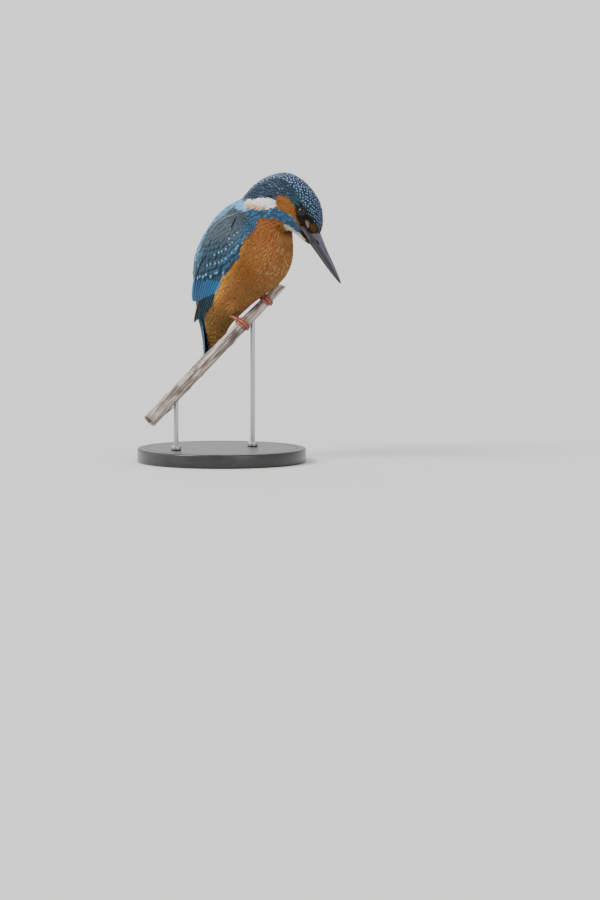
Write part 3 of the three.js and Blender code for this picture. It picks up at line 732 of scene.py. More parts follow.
lid_skin, tree, shader = new_material("lid_skin", (0.02, 0.018, 0.018), 0.6, Specular_IOR_Level=0.2)
wrinkles = node(tree, "TexVoronoi", {"Vector": here(tree)}, Scale=2400.0).outputs["Distance"]
# Painted shade: the grooves between the wrinkles are painted darker.
lid_tone = two_tones(tree, wrinkles, (0.020, 0.018, 0.019), (0.008, 0.007, 0.007), 0.2, 0.7)
paint(tree, shader, lid_tone, wrinkles, -0.4, 0.1 * MM)

for side_name, side in SIDES:
    turn = full_circle(EYE_SIDES)
    angle = np.radians(np.linspace(1, 179, EYE_ROWS))
    across, off_axis = np.meshgrid(turn, angle)
    cornea = EYE_RADIUS * (1 + 0.03 * bell(np.degrees(off_axis), 0, 30))
    ball = mesh_piece(f"eyeball_{side_name}", *closed_tube(eye_points(side, off_axis, across, cornea)))
    store(ball, "seen", np.stack([np.degrees(off_axis), np.cos(across), np.sin(across)], -1))
    outward(ball)
    finish_piece(ball, glass_eye, [f"eye_{side_name}"], 80)
    rings = []
    for off, reach in LID_PROFILE:
        upper = np.clip(np.sin(turn), 0, 1)
        oval = 1 + (0.05 * np.cos(2 * turn) - 0.05 * upper) * (off < 60)
        folds = 0.03 * np.sin(23 * turn) * (off > 47) * (reach > 3.6)
        heavy = 0.08 * upper * (reach > 3.6)
        rings.append(eye_points(side, np.radians(off) * oval, turn, (reach + folds + heavy) * MM))
    ring_points = np.stack(rings)
    lid_faces = tube_faces(len(rings), EYE_SIDES)
    last = (len(rings) - 1) * EYE_SIDES
    for k in range(EYE_SIDES):
        turn_on = (k + 1) % EYE_SIDES
        lid_faces.append((last + k, last + turn_on, turn_on, k))
    lids = mesh_piece(f"eyelids_{side_name}", ring_points, lid_faces)
    outward(lids)
    finish_piece(lids, lid_skin, [], 60)

# ---- Skin ------------------------------------------------------------------------------------------
# One skin for head, neck, trunk, thighs and the fore wings, drawn over the bird's own form and set in by
# the depth of its coat. Feathers grow from it in tracts, all lying from bill to tail.

FLESH = ["head", "neck", "trunk", "thigh_right", "thigh_left", "wing_right", "wing_left"]
BRIDGE = 0.55 * MM  # how far each solid is grown to close the gaps between them
COAT_DEPTH = 1.0 * MM
FACE_DEPTH = 0.55 * MM  # how deep it lies round the bill, where the feathers are smallest
FACE_FROM = 0.80  # place along the bill's line where it starts to lie deeper
FACE_TO = 1.05  # and where it lies deepest
STUB_FROM = 0.76  # the skin runs on inside the bill to this place, so that no gap shows round the horn
SKIN_GRAIN = 0.55 * MM

# A section of the bird runs from a point of its back to a point of its breast, both as (x, z) in mm.
SECTIONS = [
    ("bill root", (51.8, 147), (46.4, 139)),
    ("lores", (54, 153.4), (43, 141.4)),
    ("forehead", (53.9, 160.8), (39, 144.2)),
    ("eyes", (51.4, 168), (35.4, 146.6)),
    ("crown", (47.2, 174.5), (31.8, 148)),
    ("cheeks", (41.6, 180), (29.6, 147.8)),
    ("hind crown", (34.6, 184.4), (28.8, 146.8)),
    ("occiput", (26.2, 185.9), (29, 145.2)),
    ("nape", (16.4, 183), (29.6, 143.4)),
    ("hind neck", (7, 177.4), (30.4, 140.6)),
    ("collar", (-1.4, 168.6), (31.4, 136.8)),
    ("shoulders", (-11, 163.6), (32, 131.4)),
    ("mantle", (-20.6, 155), (30.8, 125)),
    ("breast", (-28.4, 142.5), (27, 118)),
    ("back", (-32.6, 129.5), (20.5, 111.5)),
    ("flanks", (-33.4, 117), (12, 105.8)),
    ("rump", (-32.8, 106), (3.5, 99.6)),
    ("vent", (-31.2, 96.5), (-4, 93)),
    ("tail root", (-29.4, 88.5), (-10.6, 86.5)),
    ("undertail", (-27, 79.5), (-15, 78.5)),
    ("undertail tip", (-25.2, 70), (-19.5, 69.5)),
]
SECTION = {name: place for place, (name, _, _) in enumerate(SECTIONS)}


def place_on_bill(point):
    """How far along the line from the bill's tip to its gape a point lies, as a share of it."""
    return (point - Vector(BILL_TIP)).dot(Vector(bill_back)) / bill_long


form = bmesh.new()
for name in FLESH + ["eye_right", "eye_left"]:
    form.from_mesh(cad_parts[name].data)
body_points = len(form.verts)
for name in ("bill_upper", "bill_lower"):
    form.from_mesh(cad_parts[name].data)
form.verts.ensure_lookup_table()
for vert in form.verts[body_points:]:
    vert.co += Vector(bill_back) * max(STUB_FROM - place_on_bill(vert.co), 0) * bill_long
bmesh.ops.remove_doubles(form, verts=form.verts, dist=1e-6)
mesh = bpy.data.meshes.new("skin")
form.to_mesh(mesh)
form.free()
skin = placed("skin", mesh)
modified(skin, "DISPLACE", strength=BRIDGE, mid_level=0.0)
modified(skin, "REMESH", mode="VOXEL", voxel_size=SKIN_GRAIN)
modified(skin, "SMOOTH", factor=0.5, iterations=30)
modified(skin, "DISPLACE", strength=-BRIDGE - FACE_DEPTH, mid_level=0.0)
deeper = skin.vertex_groups.new(name="deeper")
for vert in skin.data.vertices:
    deeper.add([vert.index], float(ease(place_on_bill(vert.co), FACE_FROM, FACE_TO)), "REPLACE")
modified(skin, "DISPLACE", strength=FACE_DEPTH - COAT_DEPTH, mid_level=0.0, vertex_group="deeper")
modified(skin, "SMOOTH", factor=0.5, iterations=6)

skin_tree = BVHTree.FromPolygons(
    [v.co.copy() for v in skin.data.vertices], [tuple(p.vertices) for p in skin.data.polygons]
)

# The skin is charted by section and by turn: 0 degrees is the back, 180 the breast, and the turn is
# positive on the bird's left.
CHART_STEPS = 20
TURN_STEP = 2
FAR_OUT = 80 * MM


def section_lines(t):
    """Middle, direction to the back and reach of the sections at places t."""
    places = np.arange(len(SECTIONS))
    back, breast = (between(t, places, [section[k] for section in SECTIONS]) * MM for k in (1, 2))
    return (back + breast) / 2, unit(back - breast), np.linalg.norm(back - breast, axis=-1) / 2


def chart_skin():
    t = np.arange(0, (len(SECTIONS) - 1) * CHART_STEPS + 1) / CHART_STEPS
    turn = np.radians(np.arange(-180, 181, TURN_STEP))
    middle, back, reach = section_lines(t)
    chart = np.zeros((len(t), len(turn), 3))
    for i in range(len(t)):
        centre = Vector((middle[i, 0], 0, middle[i, 1]))
        hit = skin_tree.ray_cast(centre + Vector((0, FAR_OUT, 0)), Vector((0, -1, 0)))[0]
        half = hit.y if hit else reach[i]
        for j, angle in enumerate(turn):
            up = reach[i] * math.cos(angle)
            way = Vector((back[i, 0] * up, half * math.sin(angle), back[i, 1] * up)).normalized()
            if t[i] < SECTION["hind neck"]:
                hit = skin_tree.ray_cast(centre, way, 1.4 * max(reach[i], half))[0]
            else:
                hit = skin_tree.ray_cast(centre + way * FAR_OUT, -way)[0]
            chart[i, j] = hit if hit else centre + way * reach[i]
    return chart


chart = chart_skin()


def on_body(t, turn):
    """The skin's points at sections t and turns in degrees."""
    i = np.clip(np.asarray(t, float) * CHART_STEPS, 0, chart.shape[0] - 1.001)
    j = np.clip((np.asarray(turn, float) + 180) / TURN_STEP, 0, chart.shape[1] - 1.001)
    i0, j0 = i.astype(int), j.astype(int)
    fi, fj = (i - i0)[..., None], (j - j0)[..., None]
    near = chart[i0, j0] * (1 - fj) + chart[i0, j0 + 1] * fj
    far = chart[i0 + 1, j0] * (1 - fj) + chart[i0 + 1, j0 + 1] * fj
    return near * (1 - fi) + far * fi


def lie_at(t, turn):
    """The way that feathers lie on the skin, from bill to tail."""
    return unit(on_body(np.asarray(t) + 0.25, turn) - on_body(np.asarray(t) - 0.25, turn) + 1e-9)


chart_points = chart.reshape(-1, 3)
chart_tree = KDTree(len(chart_points))
for k, point in enumerate(chart_points):
    chart_tree.insert(point, k)
chart_tree.balance()


def place_on_chart(points):
    """Section and turn of the chart's nearest places to some points."""
    nearest = np.array([chart_tree.find(p)[1] for p in points])
    return nearest // chart.shape[1] / CHART_STEPS, (nearest % chart.shape[1]) * TURN_STEP - 180.0


# ---- Markings --------------------------------------------------------------------------------------
# The plumage pattern of an adult male in fresh dress. Skin and feathers both take their colours from it.
# A few of its colours also carry painted light: sheen on the upper wing, light on the flank, and shade on
# the side of the lower breast.
# An outline is a list of (x, z) in mm, as the bird's side is seen square on.

BLUE_CROWN = (0.018, 0.043, 0.102)
SLATE_NAPE = (0.018, 0.036, 0.068)
TEAL_BROW = (0.020, 0.058, 0.078)
TEAL_STRIPE = (0.023, 0.082, 0.165)
AZURE = (0.230, 0.570, 0.960)
AZURE_BACK = (0.150, 0.400, 0.630)
# The wing's slate is partly its own blue and partly painted sheen on the upper wing.
SHEENED_SLATE_WING = (0.066, 0.094, 0.122)
TEAL_WING = (0.018, 0.052, 0.086)
FORE_BLUE = (0.030, 0.115, 0.235)
WHITE_PATCH = (0.970, 0.940, 0.890)
BUFF = (0.820, 0.500, 0.210)
CHIN_WHITE = (0.820, 0.760, 0.610)
EAR_ORANGE = (0.350, 0.133, 0.029)
BREAST_ORANGE = (0.350, 0.148, 0.044)
BREAST_RUST = (0.315, 0.115, 0.032)
# Painted light: the flank along the wing's lower edge is painted brighter, as if lit from the upper left.
LIT_FLANK_ORANGE = (0.700, 0.325, 0.054)
BELLY_OLIVE = (0.255, 0.132, 0.030)
# Painted shade: the side of the lower breast is painted darker, with its orange more saturated.
SHADED_DEEP_BELLY = (0.240, 0.084, 0.014)
VENT_OCHRE = (0.235, 0.128, 0.034)
LORE_BLACK = (0.020, 0.016, 0.014)
LORE_WHITE = (0.380, 0.310, 0.285)
LORE_BROWN = (0.150, 0.076, 0.028)

EAR_PATCH = [
    (28.5, 173), (32.2, 173.1), (36, 171.5), (38.9, 168.5), (40.9, 165), (41.3, 161.3), (41.9, 157.3),
    (43.3, 153.4), (45, 150.7), (44.2, 149.8), (42.5, 152.3), (40.8, 155.5), (39, 158.3), (36.6, 160),
    (33.3, 162.1), (28.6, 163.1),
]
NECK_PATCH = [
    (5.4, 166.4), (7, 168.2), (9.2, 169), (13.4, 169.8), (17.5, 170), (23.4, 169.8), (26.5, 169.3),
    (28.8, 168.6), (28.9, 167), (28.6, 163.5), (25.6, 162.6), (18.5, 162.4), (10.4, 162.6), (7.5, 163.4),
    (5.8, 164.8),
]
BUFF_PATCH = [
    (5.2, 166.6), (7, 166), (9.8, 166), (16.2, 165.6), (20.3, 164.4), (25, 162.6), (18, 161), (8, 161),
]
STRIPE = [
    (9, 163.5), (21.8, 162.9), (28.2, 163.0), (33.3, 162.2), (36.7, 160.1), (39.3, 158.3), (41.2, 155.6),
    (42.8, 152.5), (43.8, 149.4), (43.2, 148.5), (39.8, 149.2), (36.6, 151.6), (33.6, 154), (30.4, 155.5),
    (27.7, 156.6), (21.7, 157.6), (10, 157.5),
]
LORES = [
    (40.9, 165.2), (41.4, 160.5), (42.1, 157), (43.6, 153.2), (45.3, 150.5), (48.4, 147.9), (50, 144.5),
    (54.5, 146), (53.5, 152.8), (52.5, 153.4), (51.1, 155.6), (49.6, 158.4), (48.2, 162), (46.7, 164.9),
    (44, 166.4),
]
LORE_SPOT = [(47.3, 156.6), (48.7, 155.2), (49, 153), (48.4, 151.2), (47.4, 152.7), (46.8, 155)]
LORE_PATCH = [(49.6, 153.8), (51.3, 153.9), (52, 151.5), (51.5, 148.6), (50.6, 147.8), (49.4, 150.6)]
BARE_HORN = [
    (44.9, 150.4), (45.9, 150.7), (48, 149), (50, 147), (51.1, 146.2), (51.6, 146.2), (60, 140), (55, 132),
    (48, 138.5), (46.5, 141.6), (45.7, 144.4), (44.9, 147.4),
]
MANTLE_PATCH = [
    (-3, 166.5), (5.2, 168), (8.4, 164.5), (12.6, 162.8), (8.9, 161), (2.7, 161.1), (-1.4, 163.5),
]
FORE_EDGE = [(-6.8, 120), (5.5, 136), (12.1, 147), (16.5, 158), (17, 165)]  # the front of the wing

# These edges run along the body. Each is a list of sections and of turns, in degrees, from the back.
CROWN_EDGE = [
    (0, 16), (0.6, 28), (1.2, 40), (1.7, 53), (2.25, 61), (2.85, 62), (3.3, 62), (3.6, 74), (3.8, 80),
    (4.15, 78), (4.85, 72), (5.5, 69.5), (6.1, 71.5), (6.6, 74), (6.85, 81), (7.2, 79), (7.6, 75),
    (8.4, 64), (8.85, 56.5), (9.3, 48), (9.6, 36), (9.8, 20),
]
SPOT_EDGE = [
    (1.5, 50), (2.2, 50), (2.9, 52), (3.7, 51), (4.3, 50), (5, 45), (5.6, 42), (6, 37), (6.6, 32),
    (9.8, 30),
]
BLUE_EDGE = [
    (8.4, 100), (9.34, 90.4), (9.86, 93), (10.66, 94), (11.35, 95.5), (11.74, 98.5), (12.96, 99),
    (13.73, 98), (14.26, 95.5), (14.61, 92.5), (16.3, 89), (16.9, 80), (17.5, 70), (18.5, 62), (20, 56),
]
BACK_EDGE = [
    (9.5, 28), (10.76, 32), (11.76, 41.5), (12.31, 43), (13.06, 44), (13.5, 43), (14.2, 36), (15.5, 29),
]
CHIN_EDGE = [
    (0, 145), (0.34, 141), (1.26, 121), (1.85, 119), (2.6, 129), (3.5, 132), (4.45, 133), (5.2, 145),
    (5.6, 175),
]


def off_outline(outline, x, z):
    """Distance in mm of points from an outline, less than 0 inside it."""
    corners = np.array(outline, float)
    ends = np.roll(corners, -1, axis=0)
    near = np.full(x.shape, 1e9)
    inside = np.zeros(x.shape, bool)
    for (ax, az), (bx, bz) in zip(corners, ends):
        ex, ez = bx - ax, bz - az
        share = np.clip(((x - ax) * ex + (z - az) * ez) / (ex * ex + ez * ez), 0, 1)
        near = np.minimum(near, np.hypot(x - ax - share * ex, z - az - share * ez))
        crosses = (az > z) != (bz > z)
        inside ^= crosses & (x < ax + ex * (z - az) / (ez if ez else 1e-9))
    return np.where(inside, -near, near)


def edge_at(edge, t):
    """The edge's turn at sections t."""
    sections, turns = np.array(edge, float).T
    return np.interp(t, sections, turns)


def blend_in(colours, other, amount):
    return colours + (np.asarray(other) - colours) * amount[:, None]


def fore_wing(x, z):
    """How blue the wing is near its front edge, from 0 to 1."""
    edge_x, edge_z = np.array(FORE_EDGE).T
    strength = 0.4 + 0.45 * ease(z, 132, 150)
    return strength * (1 - ease(np.interp(z, edge_z, edge_x) - x, 1.5, 6.5)) * ease(z, 112, 122)


def plumage(points, t, turn, blur=0.5):
    """Colour of the plumage at points of the skin. blur softens its edges, in mm."""
    x, z = points[:, 0] / MM, points[:, 2] / MM
    round_ = np.abs(turn)

    def inside(outline, soft=blur):
        return 1 - ease(off_outline(outline, x, z), -soft, soft)

    def above(edge):
        return 1 - ease(round_ - edge_at(edge, t), -4 * blur, 4 * blur)

    rear = ease(t, 8.5, 8.9) * above(BLUE_EDGE)
    crown = above(CROWN_EDGE) * (1 - ease(t, 9.5, 9.8))
    beside_spots = ease(round_ - edge_at(SPOT_EDGE, t), -7, 3)
    layers = [
        (BREAST_RUST, (1 - ease(t, 10, 12.5)) * (1 - ease(round_, 120, 165))),
        # The flank's band is painted light.
        (LIT_FLANK_ORANGE, ease(t, 11, 13) * (1 - ease(t, 15.4, 16.8)) * (1 - ease(round_, 94, 110))),
        (BELLY_OLIVE, 0.8 * bell(x, 12, 9) * bell(z, 109, 9)),
        # The darker zone on the breast's side is painted shade.
        (SHADED_DEEP_BELLY, 0.8 * bell(x, 11, 8) * bell(z, 123, 10)),
        (VENT_OCHRE, ease(t, 15.5, 17.5) * ease(round_, 55, 80)),
        (LORE_BLACK, 1 - ease(t, 2.4, 3.0)),
        (CHIN_WHITE, (1 - ease(t, 4.7, 5.3)) * (1 - above(CHIN_EDGE))),
        # The wing's slate here is partly painted sheen.
        (SHEENED_SLATE_WING, rear),
        (FORE_BLUE, rear * fore_wing(x, z)),
        (AZURE_BACK, rear * ease(t, 9.5, 9.8) * above(BACK_EDGE)),
        (AZURE, inside(MANTLE_PATCH) * (1 - ease(round_, 70, 80))),
        (TEAL_STRIPE, inside(STRIPE)),
        (EAR_ORANGE, inside(EAR_PATCH)),
        (WHITE_PATCH, inside(NECK_PATCH)),
        (BUFF, inside(NECK_PATCH) * inside(BUFF_PATCH, 0.8)),
        (BLUE_CROWN, crown),
        (SLATE_NAPE, crown * ease(t, 3.9, 4.9) * beside_spots),
        (TEAL_BROW, crown * ease(round_, 40, 54) * (1 - ease(t, 4.6, 5.4)) * ease(t, 1, 1.8)),
        (LORE_BLACK, inside(LORES)),
        (LORE_WHITE, inside(LORE_SPOT)),
        (LORE_BROWN, inside(LORE_PATCH)),
    ]
    colours = np.tile(BREAST_ORANGE, (len(x), 1))
    for colour, amount in layers:
        colours = blend_in(colours, colour, amount)
    return colours


# The skin under the feathers is drawn darker than their tips. The down there is darker, and this is also
# painted shade where the skin shows between the feathers.
SKIN_SHADE = 0.78  # the down under the feathers is darker than their tips
skin_points = points_of(skin)
skin_t, skin_turn = place_on_chart(skin_points)
skin_colours = plumage(skin_points, skin_t, skin_turn) * SKIN_SHADE
store(skin, "tone", np.c_[skin_colours, np.ones(len(skin_colours))], "FLOAT_COLOR")

bare_skin, tree, shader = new_material("down_and_skin", (0.2, 0.15, 0.1), 0.9, Specular_IOR_Level=0.1)
down = noise(tree, here(tree), 1400.0, 3)
fuzz = two_tones(tree, down, (0.7, 0.7, 0.7), (1.15, 1.15, 1.15), 0.3, 0.7)
paint(tree, shader, mix(tree, 1.0, kept(tree, "tone", "Color"), fuzz, "MULTIPLY"), down, 0.5, 0.3 * MM)
finish_piece(skin, bare_skin, FLESH, 60)

# ---- Feathers of the body --------------------------------------------------------------------------
# Small contour feathers: a thin curved vane with a shaft, fine barbs and a loose, ragged tip. They grow
# in staggered places over the skin, and each lies over the roots of those behind it.

VANE_PLACES = [0.0, 0.3, 0.58, 0.82, 1.0]
VANE_WIDTHS = [0.3, 0.82, 1.0, 0.8, 0.3]
VANE_THICK = 0.07 * MM
PATCH = 0.003  # size of a feather's patch on the unwrap of the skin
NO_MARK = (0, 0, 0, 0)
TRIES = 60000  # places tried for the roots of one tract


def settle(points, height):
    """Drops points onto the skin and lifts each one off it by its height."""
    out = np.empty_like(points)
    for k, (point, up) in enumerate(zip(points.tolist(), height.tolist())):
        place, normal, _, _ = skin_tree.find_nearest(point)
        out[k] = place + normal * up
    return out


def skin_normals(points):
    return np.array([skin_tree.find_nearest(p)[1] for p in points.tolist()])


def coat_piece(name, rings, u, places, tones, marks, root, material, nodes=()):
    """One mesh of closed vanes, from rings of points along each. u is each point's place across its vane.
    The vane map follows each feather, and OFBake puts it at its root's place on an unwrap of the skin."""
    count, rows, around = rings.shape[:3]
    last = np.arange(around) + (rows - 1) * around
    if around == 4:
        caps = [(3, 2, 1, 0), tuple(last)]
    else:
        caps = [(7, 2, 1, 0), (7, 6, 3, 2), (6, 5, 4, 3)]
        caps += [tuple(last[k] for k in reversed(cap)) for cap in caps]
    one = np.array(tube_faces(rows, around) + caps)
    corners = rings.reshape(count, -1, 3)[:, one] - rings[:, :1, :1]
    a, b, c, d = (corners[:, :, k] for k in range(4))
    volume = (a * (np.cross(b, c) + np.cross(c, d))).sum((1, 2))
    outwards = np.where(volume[:, None, None] > 0, one[None], one[None, :, ::-1])
    faces = (outwards + (np.arange(count) * rows * around)[:, None, None]).reshape(-1, 4)
    mesh = bpy.data.meshes.new(name)
    mesh.vertices.add(count * rows * around)
    mesh.vertices.foreach_set("co", rings.astype(np.float32).ravel())
    mesh.loops.add(faces.size)
    mesh.loops.foreach_set("vertex_index", faces.astype(np.int32).ravel())
    mesh.polygons.add(len(faces))
    mesh.polygons.foreach_set("loop_start", np.arange(0, faces.size, 4, dtype=np.int32))
    mesh.update(calc_edges=True)
    piece = placed(name, mesh)

    shape = (count, rows, around)
    colours = np.ones((*shape, 4))
    colours[..., :3] = np.broadcast_to(tones, (*shape, 3))
    store(piece, "tone", colours, "FLOAT_COLOR")
    store(piece, "mark", np.broadcast_to(marks, (*shape, 4)), "FLOAT_COLOR")
    v = np.broadcast_to(places[None, :, None], shape)
    vane = np.stack([np.broadcast_to(u, shape), v], -1).reshape(count, -1, 2)
    t, turn = place_on_chart(root)
    home = np.stack([0.02 + 0.96 * t / (len(SECTIONS) - 1), 0.02 + 0.96 * (turn + 180) / 360], 1)
    corner = faces.ravel()
    for map_name, spread in (("vane", vane), ("OFBake", (vane - 0.5) * PATCH + home[:, None])):
        flat = spread.reshape(-1, 2)[corner].astype(np.float32)
        mesh.uv_layers.new(name=map_name).data.foreach_set("uv", flat.ravel())
    mesh.polygons.foreach_set("use_smooth", np.ones(len(faces), bool))
    mesh.materials.append(material)
    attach(piece, "root")
    if nodes:
        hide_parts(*nodes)


def lay_feathers(name, root, way, long, wide, tone, mark, *, low, rise, bow, seed, material, flare=0.0,
                 ragged=0.07, places=VANE_PLACES, widths=VANE_WIDTHS, sweep=0.35, slot="body_feathers",
                 shade=0.8):
    """A coat piece: one thin closed vane for each root, settled on the skin. Sizes are in metres.
    tone and mark are its colours, and mark's fourth number is how strongly the tip's spot shows.
    A vane lies low at its root and rises evenly to its tip, and flare lifts its tip alone."""
    places, widths = np.array(places), np.array(widths)
    count, rows = len(root), len(places)
    dice = np.random.default_rng(seed)
    normal = skin_normals(root)
    way = square_to(normal, way)
    across = np.cross(normal, way)
    long = np.broadcast_to(long, count) * dice.uniform(0.88, 1.12, count)
    wide = np.broadcast_to(wide, count) * dice.uniform(0.9, 1.1, count)
    bend = dice.normal(0, 0.06, count)
    settled = np.zeros((count, rows, 3, 3))
    for row, (s, w) in enumerate(zip(places, widths)):
        for column, side in enumerate((-1, 0, 1)):
            loose = 1 + ragged * dice.normal(0, 1, count) * (s > 0.5)
            along = s * loose - (abs(side) * sweep * w * wide / long * 0.5 if row else 0)
            half = side * w * wide / 2 * (1 + ragged * dice.normal(0, 1, count))
            sway = bend * s * s * long
            point = root + way * (along * long)[:, None] + across * (half + sway)[:, None]
            lift = low + rise * s + flare * s**4 - abs(side) * bow * wide * w
            settled[:, row, column] = settle(point, np.broadcast_to(lift, count))
    under = settled[:, :, 1] - normal[:, None] * VANE_THICK
    top = settled[:, :, 1] + normal[:, None] * VANE_THICK
    rings = np.stack([settled[:, :, 0], top, settled[:, :, 2], under], 2)
    u = 0.5 + np.array([-0.5, 0, 0.5, 0])[None] * widths[:, None]
    # Painted shade: by shade, each vane darkens towards its root, where it goes under the feathers ahead of
    # it.
    root_shade = (shade + (1 - shade) * places) * dice.uniform(0.93, 1.07, (count, 1))
    tones = np.broadcast_to(tone, (count, 3))[:, None, None] * root_shade[:, :, None, None]
    marks = np.broadcast_to(mark, (count, 4))[:, None, None]
    coat_piece(name, rings, u, places, tones, marks, root, material)


def vane_pattern(tree, slant, barbs):
    """Places across and along a vane, distance from its shaft, and the wave of its slanting barbs."""
    vane = node(tree, "UVMap", uv_map="vane").outputs["UV"]
    across, along, _ = node(tree, "SeparateXYZ", {"Vector": vane}).outputs
    away = maths(tree, "ABSOLUTE", maths(tree, "SUBTRACT", across, 0.5))
    slanting = maths(tree, "MULTIPLY_ADD", away, slant, along)
    return across, along, away, maths(tree, "SINE", maths(tree, "MULTIPLY", slanting, barbs))


def feather_material(name, *, sheen, sheen_tint, roughness, specular, spot, shaft_tone=0.8):
    """Vane colours with a shaft, slanting barbs, and a spot of the mark's colour near the tip.
    spot is its middle across and along the vane, and then its reach both ways."""
    material, tree, shader = new_material(
        name, (0.2, 0.2, 0.2), roughness, Specular_IOR_Level=specular, Sheen_Weight=sheen,
        Sheen_Roughness=0.4, Sheen_Tint=(*sheen_tint, 1),
    )
    across, along, away, barb = vane_pattern(tree, -0.55, 95.0)
    barb_tone = ranged(tree, barb, -1.0, 1.0, 0.92, 1.05)
    lined = maths(tree, "MULTIPLY", barb_tone, ranged(tree, away, 0.015, 0.05, shaft_tone))
    middle_u, middle_v, reach_u, reach_v = spot
    du = maths(tree, "DIVIDE", maths(tree, "SUBTRACT", across, middle_u), reach_u)
    dv = maths(tree, "DIVIDE", maths(tree, "SUBTRACT", along, middle_v), reach_v)
    square = maths(tree, "MULTIPLY_ADD", dv, dv, maths(tree, "MULTIPLY", du, du))
    near = ranged(tree, square, 0.35, 1.3, 1.0, 0.0)
    amount = maths(tree, "MULTIPLY", near, kept(tree, "mark", "Alpha"))
    spotted = mix(tree, amount, kept(tree, "tone", "Color"), kept(tree, "mark", "Color"))
    paint(tree, shader, mix(tree, 1.0, spotted, lined, "MULTIPLY"), barb, 0.25, 0.05 * MM)
    return material


orange_plumage = feather_material(
    "orange_plumage", sheen=0.1, sheen_tint=(1, 0.72, 0.45), roughness=0.7, specular=0.1,
    spot=(0.5, 0.8, 0.26, 0.2), shaft_tone=0.88,
)
blue_plumage = feather_material(
    "blue_plumage", sheen=0.1, sheen_tint=(0.4, 0.75, 1), roughness=0.5, specular=0.3,
    spot=(0.5, 0.72, 0.17, 0.3),
)
crown_plumage = feather_material(
    "crown_plumage", sheen=0.05, sheen_tint=(0.4, 0.75, 1), roughness=0.5, specular=0.25,
    spot=(0.5, 0.85, 0.235, 0.10),
)
covert_plumage = feather_material(
    "covert_plumage", sheen=0.08, sheen_tint=(0.4, 0.75, 1), roughness=0.5, specular=0.28,
    spot=(0.5, 0.89, 0.165, 0.1),
)
pale_plumage = feather_material(
    "pale_plumage", sheen=0.2, sheen_tint=(1, 0.97, 0.9), roughness=0.7, specular=0.15,
    spot=(0.5, 0.86, 0.22, 0.1), shaft_tone=0.97,
)


def scatter(gap, keep, seed):
    """Places all over the skin, none nearer to another than the gap. keep chooses by place."""
    dice = np.random.default_rng(seed)
    mesh = skin.data
    mesh.calc_loop_triangles()
    corners = np.zeros(len(mesh.loop_triangles) * 3, int)
    mesh.loop_triangles.foreach_get("vertices", corners)
    corners = corners.reshape(-1, 3)
    a, b, c = (skin_points[corners[:, k]] for k in range(3))
    kept_corner = keep(skin_points[corners[:, 0]], skin_t[corners[:, 0]], skin_turn[corners[:, 0]])
    area = np.linalg.norm(np.cross(b - a, c - a), axis=1) * kept_corner
    picks = dice.choice(len(corners), TRIES, p=area / area.sum())
    u, v = dice.random(TRIES), dice.random(TRIES)
    flip = u + v > 1
    u, v = np.where(flip, 1 - u, u)[:, None], np.where(flip, 1 - v, v)[:, None]
    points = a[picks] + (b[picks] - a[picks]) * u + (c[picks] - a[picks]) * v
    t, turn = skin_t[corners[picks, 0]], skin_turn[corners[picks, 0]]
    steps = [(dx, dy, dz) for dx in (-1, 0, 1) for dy in (-1, 0, 1) for dz in (-1, 0, 1)]
    taken = {}
    chosen = []
    cells = np.floor(points / gap).astype(int)
    for k, (point, (x, y, z)) in enumerate(zip(points.tolist(), cells.tolist())):
        others = (other for dx, dy, dz in steps for other in taken.get((x + dx, y + dy, z + dz), ()))
        if not any(math.dist(point, other) < gap for other in others):
            taken.setdefault((x, y, z), []).append(point)
            chosen.append(k)
    return points[chosen], t[chosen], turn[chosen]


def marked(colour, strength):
    """Marks of one colour, with a strength for each feather."""
    return np.c_[np.tile(colour, (len(strength), 1)), strength]


# ---- Coat of the trunk -----------------------------------------------------------------------------
# Soft orange feathers from breast to vent, azure ones down the middle of the back, and long ochre
# coverts under the tail. Each is a thin vane whose loose tip lies flat on the next.

WING_FROM = SECTION["collar"] + 0.24
WING_TO = SECTION["tail root"] - 0.24
WING_LEAD = [92, 104, 103, 98, 90, 76]
WING_TRAIL = [52, 34, 26, 23, 21, 24]
SEEN = 0.72  # share of a feather's length at which it comes out from under the others
EYE_CLEAR = 3.15 * MM


def wing_edges(p):
    stops = np.linspace(0, 1, len(WING_LEAD))
    return np.interp(p, stops, WING_TRAIL), np.interp(p, stops, WING_LEAD)


def on_wing(t, turn):
    """Share of the wing's length and width, from shoulder to tip and from trailing to leading edge."""
    p = (t - WING_FROM) / (WING_TO - WING_FROM)
    trail, lead = wing_edges(p)
    return p, (np.abs(turn) - trail) / (lead - trail)


def ahead(t, turn, reach):
    """Places on the skin a reach farther along the lie of the feathers, with their section."""
    step = np.linalg.norm(on_body(t + 0.15, turn) - on_body(t - 0.15, turn), axis=-1) / 0.3
    farther = np.minimum(t + reach / np.maximum(step, 1 * MM), len(SECTIONS) - 1.01)
    return on_body(farther, turn), farther


def off_eye(points):
    """Distance of each point from the axis of the eye on its own side."""
    side = np.where(points[:, 1] < 0, -1.0, 1.0)
    place = EYE_PLACE * np.stack([np.ones_like(side), side, np.ones_like(side)], 1)
    look = unit(EYE_LOOK * np.stack([np.ones_like(side), side, np.ones_like(side)], 1))
    arm = points - place
    along = (arm * look).sum(1)
    return np.where(along > -1 * MM, np.linalg.norm(arm - look * along[:, None], axis=1), 1.0)


def clear_of_eye(*places):
    return np.min([off_eye(points) for points in places], axis=0) > EYE_CLEAR


